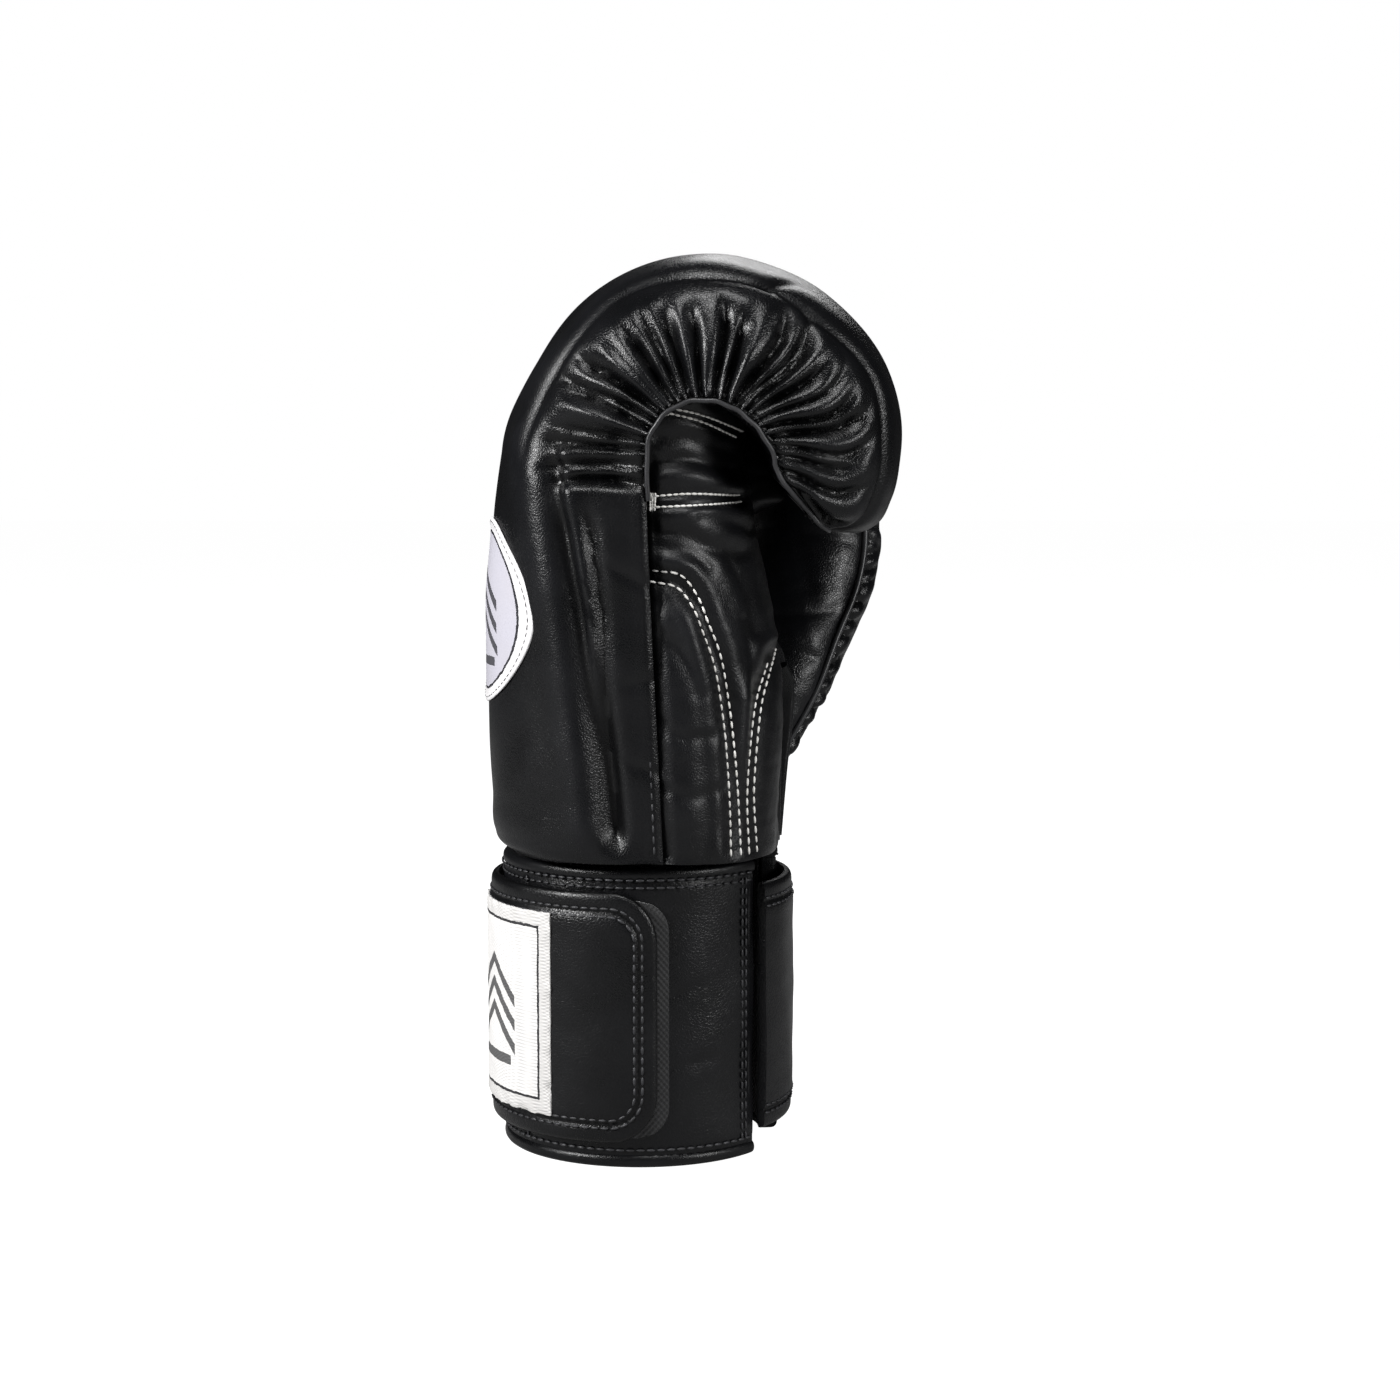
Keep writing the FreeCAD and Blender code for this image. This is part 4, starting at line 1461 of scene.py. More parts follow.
    def badge(self) -> None:
        """The round patch on the back, with a raised rim and a plain printed mark."""
        low, high = box_mm("back_badge")
        radius = (high[1] - low[1]) / 2
        middle_y, middle_z = (high[1] + low[1]) / 2, (high[2] + low[2]) / 2
        rings = np.concatenate([np.linspace(0.02, 0.93, 22), [0.95, 0.97, 0.99, 1.0]]) * radius
        turns = np.linspace(0, 2 * math.pi, 72, endpoint=False)
        ring, turn = np.meshgrid(rings, turns, indexing="ij")
        dy, dz = ring * np.cos(turn), ring * np.sin(turn)
        rim_share = ramp(ring, radius * 0.9, radius * 0.96)
        out = 0.55 + 0.35 * rim_share * ramp(ring, radius * 1.001, radius * 0.985)
        place = middle_z + dz - self.shape.lower
        grid = self.shape.at_y(place, middle_y + dy, 0.0)
        swell = self.shape.swell(grid)
        grid = self.shape.at_y(place, middle_y + dy, out + 0.2 + swell)
        _, flip = outward(grid, np.array([40.0, middle_y, middle_z]), wrap=True)
        faces = grid_faces(len(rings), len(turns), True, flip)
        faces += end_caps(len(rings), len(turns), not flip)[:1]
        piece = make_object("back_badge_patch", grid, faces)
        store_map(piece, np.stack([0.5 + dy / radius / 2, 0.5 + dz / radius / 2], axis=-1))
        thicken(piece, 0.7)
        self.finishes.fit(piece, "vinyl_badge", "hand", nodes=("back_badge",))
        rim = np.linspace(0, 2 * math.pi, 160)
        y, z = middle_y + 0.955 * radius * np.cos(rim), middle_z + 0.955 * radius * np.sin(rim)
        row = self.shape.at_y(z - self.shape.lower, y, 0.9)
        row = self.shape.at_y(z - self.shape.lower, y, 1.0 + self.shape.swell(row))
        stitches = self.stitcher.rows("badge_stitches", [row], Thread.BLACK, 2.4, 1.9, 0.45)
        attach(stitches, "hand")


@dataclass
class Palm(Section):
    """The palm and the padded grip inside the curl, with their stitched seams and the wrist slit."""

    wall: float = 1.6
    slit_y: tuple[float, float] = (2.0, 12.0)
    slit_height: float = 56.0
    front: Table = ((95.1, 45.3), (110.0, 45.9), (148.0, 46.1), (166.0, 44.6), (175.6, 43.2), (188.0, 40.2),
                    (195.6, 38.4), (202.0, 37.2), (207.0, 35.6), (215.0, 34.8), (228.0, 34.5),
                    (236.0, 34.0), (240.0, 31.5), (243.0, 28.0), (244.2, 25.0))
    lines: tuple[tuple[tuple[float, float], ...], ...] = (
        ((5.5, 188.3), (13.3, 187.0), (18.6, 180.5), (22.0, 172.0), (25.4, 163.2), (28.4, 147.6),
         (30.6, 129.0), (31.6, 114.0), (32.4, 98.5)),
        ((4.6, 184.6), (12.0, 183.0), (17.0, 177.0), (20.2, 169.0), (23.4, 160.0), (26.2, 145.0),
         (28.0, 128.0), (28.8, 114.0), (29.2, 98.5)),
        ((44.0, 160.5), (41.8, 154.0), (39.8, 147.6), (37.6, 132.0), (36.6, 116.4), (37.6, 98.5)),
        ((40.9, 156.5), (37.6, 147.0), (35.4, 132.0), (34.4, 116.4), (35.0, 98.5)),
    )
    fine_lines: tuple[tuple[tuple[float, float], ...], ...] = (
        ((8.3, 239.2), (20.0, 236.6), (33.0, 231.6)),
        ((8.6, 237.4), (20.0, 234.5), (30.6, 229.8)),
        ((4.0, 211.3), (15.0, 212.0), (31.8, 211.4)),
        ((4.4, 207.9), (15.0, 208.3), (32.4, 209.1)),
    )

    @property
    def rise(self) -> float:
        """How far the hand stands over the height that the palm's tables start from."""
        return self.shape.lower - self.front[0][0]

    def left(self, z: Array) -> Array:
        """X of the palm's edge under the side seam and round the curl.

        Args:
            z: Heights.

        Returns:
            X values.
        """
        shape = self.shape
        share = np.clip((z - shape.lower) / shape.length, 0, 1)
        straight = shape.curl[0] - (14.7 + 5.5 * share)
        rise = np.clip(z - shape.curl[1], 0, shape.curl_inner - 0.02)
        return np.where(z > shape.curl[1], shape.curl[0] - np.sqrt(shape.curl_inner**2 - rise**2), straight)

    def points(self, z: Array, turn: Array, inset: Array | float = 0.0) -> Array:
        """Points of the plain palm.

        Args:
            z: Heights.
            turn: Turns across from the little-finger side, in radians.
            inset: How far the section is drawn in.

        Returns:
            Points, with X, Y and Z last.
        """
        left = self.left(z)
        up = z - self.rise
        front = eased(self.front, up)
        low = self.shape.little + 0.3 + 2.4 * ramp(up, 200, 216)
        high = self.shape.thumb - 0.3 - 12.0 * ramp(up, 186, 222)
        half, middle = (high - low) / 2 - inset, (high + low) / 2
        cosine, sine = np.cos(turn), np.sin(turn)
        y = middle - half * np.sign(cosine) * np.abs(cosine) ** self.shape.power
        x = left + (front - inset - left) * np.abs(sine) ** self.shape.power
        past = np.clip(z - self.shape.curl[1], 0, 18.3)
        filled = self.shape.curl[0] + np.sqrt(19.0**2 - past**2)
        filled = filled + 0.5 * np.clip(self.shape.curl[1] - z, 0, 13.0)
        share = ramp(up, 199.0, 209.0) * ramp(turn, 1.75, 2.2) * ramp(turn, 3.1, 2.85)
        x = x + np.clip(filled - x, 0, None) * share
        return np.stack([x, y, z + 0 * turn], axis=-1)

    @staticmethod
    def from_line(x: Array, z: Array, line: Sequence[tuple[float, float]]) -> Array:
        """Distance of points from a line, as seen from the side.

        Args:
            x: X of the points.
            z: Z of the points.
            line: Points of the line.

        Returns:
            Distances.
        """
        path = smooth_path([(a, 0.0, b) for a, b in line], 1.0)[:, ::2]
        best = np.full(x.shape, 1e9)
        for px, pz in path:
            best = np.minimum(best, (x - px) ** 2 + (z - pz) ** 2)
        return np.sqrt(best)

    def relief(self, points: Array, turn: Array) -> Array:
        """Height of the palm over its plain dome: seams, padding and wrinkles.

        Args:
            points: The plain points.
            turn: Turns across, in radians.

        Returns:
            Heights.
        """
        x, y, z = points[..., 0], points[..., 1], points[..., 2]
        near = ramp(y, 8.0, -14.0)
        far = 1 - near
        left = x - self.left(z)
        z = z - self.rise
        height = 0.5 * unevenness(points, 22.0, 17) + 0.08 * unevenness(points, 7.0, 18)
        height -= 1.7 * ramp(left, 5.0, 0.5) * ramp(z, 232.0, 216.0)
        for line, twin in ((self.lines[0], self.lines[1]), (self.lines[2], self.lines[3])):
            if len(line) == len(twin):
                middle = [((a + c) / 2, (b + d) / 2) for (a, b), (c, d) in zip(line, twin)]
            else:
                middle = [(a - 1.1, b - 0.5) for a, b in line]
            away = self.from_line(x, z, middle)
            height += (groove(away, 2.6, 1.5, 2.4) + 0.9 * np.exp(-((away - 5.5) / 2.6) ** 2)) * near
        below = ramp(z, 184.0, 172.0) * ramp(x, 24.0, 16.0) * near
        dip = 1.3 * near * np.exp(-((z - 181.0) / 5.0) ** 2) * ramp(x, 22, 10)
        height += 1.6 * below * ramp(z, 97.0, 112.0) - dip
        for line in self.fine_lines:
            height += groove(self.from_line(x, z, line), 1.2, 1.0, 2.0) * near
        folds = (
            (((6.0, 217.0), (16.0, 217.6), (27.0, 215.0), (34.0, 213.5)), 2.4, -1.5),
            (((5.0, 221.5), (15.0, 223.0), (24.0, 221.0), (31.0, 219.0)), 2.0, 1.5),
            (((7.0, 229.5), (15.0, 229.0), (24.0, 226.0), (30.0, 224.5)), 2.2, 1.2),
            (((5.0, 201.0), (14.0, 199.5), (24.0, 195.0), (34.0, 193.0)), 2.4, 1.8),
            (((8.0, 195.5), (16.0, 194.0), (22.0, 190.0)), 1.8, 1.1),
            (((20.0, 204.5), (28.0, 203.5), (36.0, 200.0)), 1.6, 1.0),
            (((30.0, 190.0), (35.0, 180.0), (38.0, 168.0)), 1.8, 1.2),
            (((34.0, 172.0), (36.0, 160.0), (37.0, 150.0)), 1.4, 0.9),
            (((8.0, 168.0), (15.0, 160.0), (19.0, 150.0)), 2.0, 0.9),
            (((6.0, 141.0), (14.0, 136.0), (23.0, 136.0)), 1.7, 0.8),
            (((7.0, 120.0), (16.0, 117.0), (26.0, 119.0)), 1.6, 0.7),
        )
        for line, width, depth in folds:
            height += groove(self.from_line(x, z, line), 1.3 * width, depth, 1.8) * near
        height += 1.2 * np.exp(-((z - 206.0) / 3.2) ** 2) * ramp(x, 8, 16) * near
        beside_slit = 3.4 * np.exp(-((y - 17.0) / 7.5) ** 2)
        height += beside_slit * ramp(z, 98.0, 128.0) * ramp(z, 172.0, 154.0) * ramp(y, 8, 13)
        rng = np.random.default_rng(29)
        for _ in range(16):
            at, slope, width = rng.uniform(100, 240), rng.uniform(-0.4, 0.4), rng.uniform(1.5, 3.0)
            height += groove(z - at - slope * y, width, rng.uniform(0.3, 0.9), 1.5) * far
        return height * ramp(z, 94.0, 99.0)

    def build(self) -> None:
        """Makes the palm, the binding of the slit, the grip's stitches and the seam stitches."""
        lower = self.shape.lower + 0.4
        top = self.shape.curl[1] + self.shape.curl_inner
        heights = np.concatenate([np.full(4, lower), np.arange(lower, top - 1.2, 0.95),
                                  np.linspace(top - 1.15, top - 0.2, 6)])
        inset = np.concatenate([[7.0, 4.0, 2.0, 0.7], np.zeros(len(heights) - 4)])
        rise = np.concatenate([[1.6, 0.7, 0.1, -0.2], np.zeros(len(heights) - 4)])
        middle = (self.shape.thumb + self.shape.little) / 2
        half = (self.shape.thumb - self.shape.little) / 2 - 0.3
        slit = [math.acos(-((y - middle) / half) ** 1.25) for y in self.slit_y]
        turns = np.concatenate([
            np.linspace(0, 1.2, 62, endpoint=False), np.linspace(1.2, slit[0], 18, endpoint=False),
            np.linspace(slit[0], slit[1], 5), np.linspace(slit[1], math.pi, 46)[1:]])
        z, turn = np.meshgrid(heights, turns, indexing="ij")
        plain = self.points(z, turn, inset[:, None] * np.ones_like(turn))
        plain[..., 2] += rise[:, None]
        normal, flip = outward(plain, np.array([8.0, -2.0, 0.0]) * np.ones_like(plain) + plain * [0, 0, 1])
        height = self.relief(plain, turn)
        grid = plain + normal * height[..., None]
        in_slit = (turns[:-1] > slit[0] - 1e-6) & (turns[:-1] < slit[1] - 1e-6)
        top = self.shape.lower + self.slit_height
        skip = in_slit[None, :] & (heights[:-1] < top)[:, None]
        piece = grid_object("palm", grid, flip, skip=skip)
        store(piece, "relief", height * 0.8)
        tree = BVHTree.FromPolygons([Vector(p) for p in (grid.reshape(-1, 3)).tolist()],
                                    [tuple(p.vertices) for p in piece.data.polygons])
        thicken(piece, self.wall)
        self.finishes.fit(piece, "palm_leather", "hand", fill=0.5,
                          nodes=("palm_edge_panel", "palm_insert", "palm_thumb_panel", "palm_pad_little",
                                 "palm_pad_thumb", "grip_cover", "grip_bar"))
        self.bind_slit(top)
        rows = [self.laid(tree, line) for line in self.lines]
        seams = self.stitcher.rows("palm_seam_stitches", rows, Thread.WHITE, 3.1, 2.5, 0.85, 4)
        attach(seams, "hand")
        fine = [self.laid(tree, line) for line in self.fine_lines]
        tight = self.stitcher.rows("grip_stitches", fine, Thread.WHITE, 1.95, 2.1, 0.85, 5)
        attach(tight, "hand")
        self.tacks(tree)
        side = self.stitcher.rows("side_seam_stitches",
                                  [self.edge_row(Side.LITTLE), self.edge_row(Side.THUMB)],
                                  Thread.BLACK, 3.4, 2.7, 0.8, 6)
        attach(side, "hand")

    def laid(self, tree: BVHTree, line: Sequence[tuple[float, float]]) -> Array:
        """A line laid on the palm from the little-finger side.

        Args:
            tree: The palm's surface.
            line: X and Z of the line's points.

        Returns:
            Points on the surface.
        """
        path = smooth_path([(a, 0.0, b) for a, b in line], 0.8)
        found = []
        for x, _, z in path.tolist():
            hit, normal, _, _ = tree.ray_cast(Vector((x, -120.0, z + self.rise)), Vector((0, 1, 0)))
            if hit is not None:
                off = normal if normal.y < 0 else -normal
                found.append(tuple(hit + off * 0.12))
        return np.array(found)

    def tacks(self, tree: BVHTree) -> None:
        """The dense bars of thread that start the two grip seams.

        Args:
            tree: The palm's surface.
        """
        rows = []
        for x, low, high in ((8.3, 236.9, 239.8), (4.2, 207.4, 211.8)):
            for k in range(3):
                rows.append(self.laid(tree, ((x - 0.3 + 0.75 * k, low), (x - 0.1 + 0.75 * k, high))))
        piece = self.stitcher.rows("grip_bartacks", [row for row in rows if len(row) > 1], Thread.WHITE,
                                   1.1, 1.6, 0.8, 8)
        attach(piece, "hand")

    def edge_row(self, side: Side) -> Array:
        """The row of stitches along the side seam.

        Args:
            side: Which side.

        Returns:
            Points of the row.
        """
        z = np.arange(self.shape.lower + 5.0, self.shape.curl[1] - 16.0, 1.0)
        y = self.shape.little - 0.35 if side is Side.LITTLE else self.shape.thumb + 0.35
        return np.stack([self.left(z) - 2.6, np.full_like(z, y), z], axis=-1)

    def bind_slit(self, top: float) -> None:
        """The folded leather strips along both edges of the wrist slit.

        Args:
            top: Height of the slit's closed end.
        """
        low, high = self.slit_y
        bottom = self.shape.lower + 0.6
        for name, node, y, lean, front, swell in (
                ("slit_strip_little", "slit_binding_little", low - 1.2, -1.0, 45.4, 0.4),
                ("slit_strip_thumb", "slit_binding_thumb", high + 1.2, 1.0, 46.4, 3.6)):
            marks = [(front - 0.2, y, bottom), (front + 0.5 * swell, y, bottom + 24.0),
                     (front + swell, y + 0.4 * lean, top - 14.0),
                     (front + swell, y - 0.6 * lean, top - 3.0),
                     (front + 0.6 * swell - 0.6, y - 3.4 * lean, top + 1.6)]
            path = smooth_path(marks, 1.2)
            path[:, 0] -= 3.0
            toward = np.tile([1.0, 0.0, 0.0], (len(path), 1))
            piece = sweep(name, path, toward, rounded(3.0, 8.0, 1.3))
            self.finishes.fit(piece, "binding_leather", "hand", nodes=(node,))


@dataclass
class Thumb(Section):
    """The padded thumb: a smooth inner panel, a gathered outer panel and the cord between them."""

    seam_deg: tuple[float, float] = (-44.0, 140.0)
    middle_x: Table = ((10.0, 31.5), (16.0, 33.0), (30.0, 38.0), (47.0, 44.2), (65.0, 50.2), (84.0, 57.6),
                       (102.0, 60.8), (118.0, 60.6), (133.0, 60.0))
    middle_y: Table = ((10.0, 27.0), (16.0, 29.0), (30.0, 33.0), (47.0, 39.0), (65.0, 45.5), (84.0, 54.5),
                       (102.0, 60.0), (118.0, 61.5), (133.0, 61.5))
    half_x: Table = ((10.0, 7.0), (16.0, 10.5), (30.0, 15.5), (47.0, 20.5), (65.0, 22.4), (84.0, 23.2),
                     (102.0, 22.4), (112.0, 20.6), (121.0, 17.0), (127.5, 12.6), (131.5, 7.6), (133.4, 1.0))
    half_y: Table = ((10.0, 10.0), (16.0, 13.0), (30.0, 16.0), (47.0, 18.0), (65.0, 19.0), (84.0, 19.5),
                     (102.0, 19.5), (112.0, 18.4), (121.0, 15.6), (127.5, 11.6), (131.5, 7.0), (133.4, 1.0))

    def points(self, height: Array, turn: Array) -> Array:
        """Points of the plain thumb.

        Args:
            height: Heights over the hand's lower edge.
            turn: Turns about its middle in degrees.

        Returns:
            Points, with X, Y and Z last.
        """
        angle = np.radians(turn)
        x = eased(self.middle_x, height) + eased(self.half_x, height) * np.cos(angle)
        y = eased(self.middle_y, height) + eased(self.half_y, height) * np.sin(angle)
        return np.stack([x, y, self.shape.lower + height + 0 * angle], axis=-1)

    def seam_gap(self, turn: Array) -> tuple[Array, Array]:
        """Angle from the nearest seam, and which panel a point is on.

        Args:
            turn: Turns about the thumb's middle in degrees.

        Returns:
            Angles, and 1 on the outer panel or 0 on the inner one.
        """
        first = (turn - self.seam_deg[0] + 180.0) % 360.0 - 180.0
        second = (turn - self.seam_deg[1] + 180.0) % 360.0 - 180.0
        gap = np.minimum(np.abs(first), np.abs(second))
        outer = ((turn - self.seam_deg[0]) % 360.0) < (self.seam_deg[1] - self.seam_deg[0])
        return gap, outer.astype(float)

    def relief(self, height: Array, turn: Array, points: Array) -> tuple[Array, Array]:
        """Height of the surface over the plain thumb.

        Args:
            height: Heights over the hand's lower edge.
            turn: Turns in degrees.
            points: The plain points.

        Returns:
            Heights, and the gathered share.
        """
        gap, outer = self.seam_gap(turn)
        run = np.radians(gap) * 20.0
        out = 0.4 * unevenness(points, 26.0, 31) + 0.14 * unevenness(points, 8.0, 32)
        out += groove(gap, 4.0, 1.3, 2.0) * (1 - 0.3 * outer)
        out += 1.7 * outer * np.exp(-((run - 5.0) / 4.0) ** 2)
        out += 1.0 * (1 - outer) * (1 - np.exp(-run / 6.0))
        rng = np.random.default_rng(57)
        place = 22.0
        while place < 133.0:
            width, depth = rng.uniform(1.1, 1.9), rng.uniform(1.2, 2.5)
            end, lean = rng.uniform(11, 19), rng.uniform(-0.35, 0.25)
            line = height - place - lean * run
            out += groove(line, width, depth, 1.4) * ramp(run, end, end - 9.0) * outer
            place += rng.uniform(3.6, 6.4)
        for middle, slope, depth in ((58.0, 0.25, 0.9), (76.0, -0.15, 0.8), (97.0, 0.2, 0.7),
                                     (112.0, -0.1, 0.6)):
            line = height - middle - slope * run
            out += groove(line, 2.2, depth, 1.5) * (1 - outer) * ramp(run, 2.0, 8.0)
        tip = ramp(height, 133.0, 126.0)
        return out * (0.25 + 0.75 * tip) * ramp(height, 14.0, 26.0), outer * ramp(run, 18.0, 8.0)

    def build(self) -> None:
        """Makes the thumb and its cord."""
        heights = np.concatenate([np.arange(10.0, 112.0, 0.9),
                                  112.0 + 21.4 * np.sin(np.linspace(0, math.pi / 2, 34))])
        turns = np.arange(0.0, 360.0, 2.5)
        height, turn = np.meshgrid(heights, turns, indexing="ij")
        plain = self.points(height, turn)
        middle = np.stack([eased(self.middle_x, height), eased(self.middle_y, height),
                           plain[..., 2] - 1.0], axis=-1)
        normal, flip = outward(plain, middle, wrap=True)
        out, gathered = self.relief(height, turn, plain)
        grid = plain + normal * out[..., None]
        faces = grid_faces(len(heights), len(turns), True, flip)
        faces += end_caps(len(heights), len(turns), not flip)
        piece = make_object("thumb", grid, faces)
        store(piece, "relief", out)
        store(piece, "gather", gathered)
        start, end = self.bend()
        self.finishes.fit(piece, "shell_leather", "hand", "thumb", fold=(start, end), fill=0.8,
                          nodes=("thumb_outer_leather", "thumb_inner_leather", "thumb_pad", "thumb_lining"))
        up = np.concatenate([np.arange(24.0, 116.0, 3.0),
                             [119.0, 122.0, 125.0, 127.6, 129.8, 131.3, 132.4]])
        near = self.points(up, np.full_like(up, self.seam_deg[0]))
        far = self.points(up, np.full_like(up, self.seam_deg[1]))[::-1]
        top = self.points(np.array([133.4]), np.array([50.0]))
        path = smooth_path(np.vstack([near, top, far]), 1.2)
        core = np.stack([eased(self.middle_x, path[:, 2] - self.shape.lower),
                         eased(self.middle_y, path[:, 2] - self.shape.lower), path[:, 2] - 8.0], axis=-1)
        away = path - core
        away /= np.linalg.norm(away, axis=1, keepdims=True)
        cord = sweep("thumb_cord", path - away * 0.1, away, round_cord(1.0))
        self.finishes.fit(cord, "piping_leather", "hand", "thumb", fold=(start, end),
                          nodes=("thumb_piping",))

    def bend(self) -> tuple[Point, Point]:
        """Start and end of the bend at the thumb's root, in metres.

        Returns:
            The two points.
        """
        lower = self.shape.lower * MM
        return (0.04, 0.03, lower + 0.012), (0.04, 0.03, lower + 0.05)


@dataclass
class Cuff(Section):
    """The padded band round the wrist with its panels, bindings, loop patch and lining."""

    start_deg: float = 8.0
    end_deg: float = 324.0
    binding_deg: float = 4.0
    seams_deg: tuple[float, float] = (105.0, 215.0)
    inner: float = 39.9
    height: float = field(init=False)
    radius: float = field(init=False)

    def __post_init__(self) -> None:
        """Reads the places from the model."""
        self.height = box_mm("cuff_top_binding")[1][2]
        self.radius = box_mm("cuff_thumb_panel")[1][1]

    def build(self) -> None:
        """Makes every piece of the cuff."""
        self.band()
        self.binding("cuff_rim_roll", "cuff_rim_binding", 0.05, 4.6)
        self.binding("cuff_top_roll", "cuff_top_binding", self.height - 4.8, self.height)
        self.edges()
        self.loop()
        self.lining()
        rows = []
        for z, lift in ((self.height - 6.4, 0.75), (self.height - 3.9, 1.1), (6.0, 0.75)):
            turn = np.arange(self.start_deg + 3, self.end_deg - 3, 1.0)
            rows.append(on_ring(np.full_like(turn, self.radius + lift), turn, z))
        for turn in (*self.seams_deg, self.end_deg - 5.6, self.end_deg - 7.8):
            z = np.arange(7.0, self.height - 6.0, 1.0)
            lift = 0.35 if turn in self.seams_deg else 0.75
            rows.append(on_ring(np.full_like(z, self.radius + lift),
                                turn + (1.4 if turn in self.seams_deg else 0), z))
        stitches = self.stitcher.rows("cuff_stitches", rows, Thread.BLACK, 3.3, 2.7, 0.95, 12)
        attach(stitches, "cuff")

    def band(self) -> None:
        """The leather band, one padded wall with its two upright seams."""
        turns = np.linspace(self.start_deg + 0.6, self.end_deg - 0.6, 210)
        heights = np.concatenate([np.linspace(3.6, 8.0, 7, endpoint=False),
                                  np.linspace(8.0, self.height - 7.5, 60),
                                  np.linspace(self.height - 7.5, self.height - 3.4, 7)[1:]])
        z, turn = np.meshgrid(heights, turns, indexing="ij")
        plain = on_ring(np.full_like(z, self.radius), turn, z)
        out = 0.35 * unevenness(plain, 20.0, 61) + 0.5
        for middle in self.seams_deg:
            out += groove(np.radians(turn - middle) * self.radius, 1.3, 1.4, 1.6)
        out *= ramp(z, 3.6, 8.0) * ramp(z, self.height - 3.4, self.height - 8.0)
        rng = np.random.default_rng(71)
        for _ in range(14):
            at, slope = rng.uniform(10, 86), rng.uniform(-0.25, 0.25)
            middle, reach = rng.uniform(20, 320), rng.uniform(9, 26)
            share = np.exp(-((turn - middle) / reach) ** 2)
            out += groove(z - at - slope * (turn - middle), 1.4, 0.5, 1.5) * share
        outer = on_ring(self.radius + np.clip(out, -1.0, 1.2), turn, z)
        inner = on_ring(np.full_like(z, self.inner + 1.0), turn, z)
        self.closed_wall("cuff_band", outer, inner, out, "cuff_leather",
                         ("cuff_thumb_panel", "cuff_back_panel", "cuff_little_finger_panel",
                          "cuff_foam"), fill=0.3)

    def closed_wall(self, name: str, outer: Array, inner: Array, height: Array, finish: str,
                    nodes: Sequence[str], fill: float | None = None) -> None:
        """A closed wall between an outer and an inner grid, riding on the cuff.

        Args:
            name: Object name.
            outer: Outer points.
            inner: Inner points.
            height: Relief of the outer points.
            finish: Name of the finish.
            nodes: Nodes that it stands for.
            fill: How full a padded piece is.
        """
        piece = wall_object(name, outer, inner)
        store(piece, "relief", np.concatenate([height.reshape(-1), 0 * height.reshape(-1)]))
        self.finishes.fit(piece, finish, "cuff", fill=fill, nodes=nodes)

    def binding(self, name: str, node: str, low: float, high: float) -> None:
        """A rolled leather binding along the cuff's top or bottom edge.

        Args:
            name: Object name.
            node: Node that it stands for.
            low: Lower height.
            high: Upper height.
        """
        turn = np.linspace(self.start_deg, self.end_deg, 190)
        middle = (self.inner - 0.6 + self.radius + 0.9) / 2
        path = on_ring(np.full_like(turn, middle), turn, (low + high) / 2)
        path[:, 2] += 0.12 * np.sin(turn / 7.0) * (1 if low > 10 else 0)
        toward = np.tile([0.0, 0.0, 1.0], (len(path), 1))
        wide = self.radius + 0.9 - self.inner + 0.6
        piece = sweep(name, path, toward, rounded(wide, high - low, 2.0))
        self.finishes.fit(piece, "binding_leather", "cuff", nodes=(node,))

    def edges(self) -> None:
        """The folded strips along the two upright edges of the cuff's opening."""
        wide = math.radians(self.binding_deg + 0.6) * self.radius
        for name, node, turn in (
                ("cuff_edge_strip_little", "slit_edge_binding_little", self.end_deg - self.binding_deg / 2),
                ("cuff_edge_strip_thumb", "slit_edge_binding_thumb",
                 self.start_deg + self.binding_deg / 2)):
            z = np.arange(4.2, self.height - 3.8, 1.5)
            path = on_ring(np.full_like(z, (self.inner + self.radius + 0.4) / 2), turn, z)
            toward = np.tile(on_ring(np.array(1.0), np.array(turn), np.array(0.0)), (len(path), 1))
            piece = sweep(name, path, toward, rounded(wide, self.radius + 0.6 - self.inner, 1.3))
            self.finishes.fit(piece, "binding_leather", "cuff", nodes=(node,))

    def loop(self) -> None:
        """The fuzzy patch that the strap's hooks hold to."""
        z0, z1 = (corner[2] for corner in box_mm("loop_patch"))
        heights = np.linspace(z0, z1, 60)
        share = np.linspace(0, 1, 90)
        corner = np.clip(10.0 - np.minimum(heights - z0, z1 - heights), 0, None)
        cut = (10.0 - np.sqrt(np.clip(100.0 - corner**2, 0, None))) / self.radius
        last = 282.0 - np.degrees(cut)
        z, part = np.meshgrid(heights, share, indexing="ij")
        turn = 150.0 + (last[:, None] - 150.0) * part
        fuzz = 0.12 * unevenness(on_ring(np.full_like(z, self.radius), turn, z), 3.0, 81)
        outer = on_ring(self.radius + 1.15 + fuzz, turn, z)
        inner = on_ring(np.full_like(z, self.radius + 0.1), turn, z)
        self.closed_wall("cuff_loop_patch", outer, inner, fuzz, "loop_fabric", ("loop_patch",))

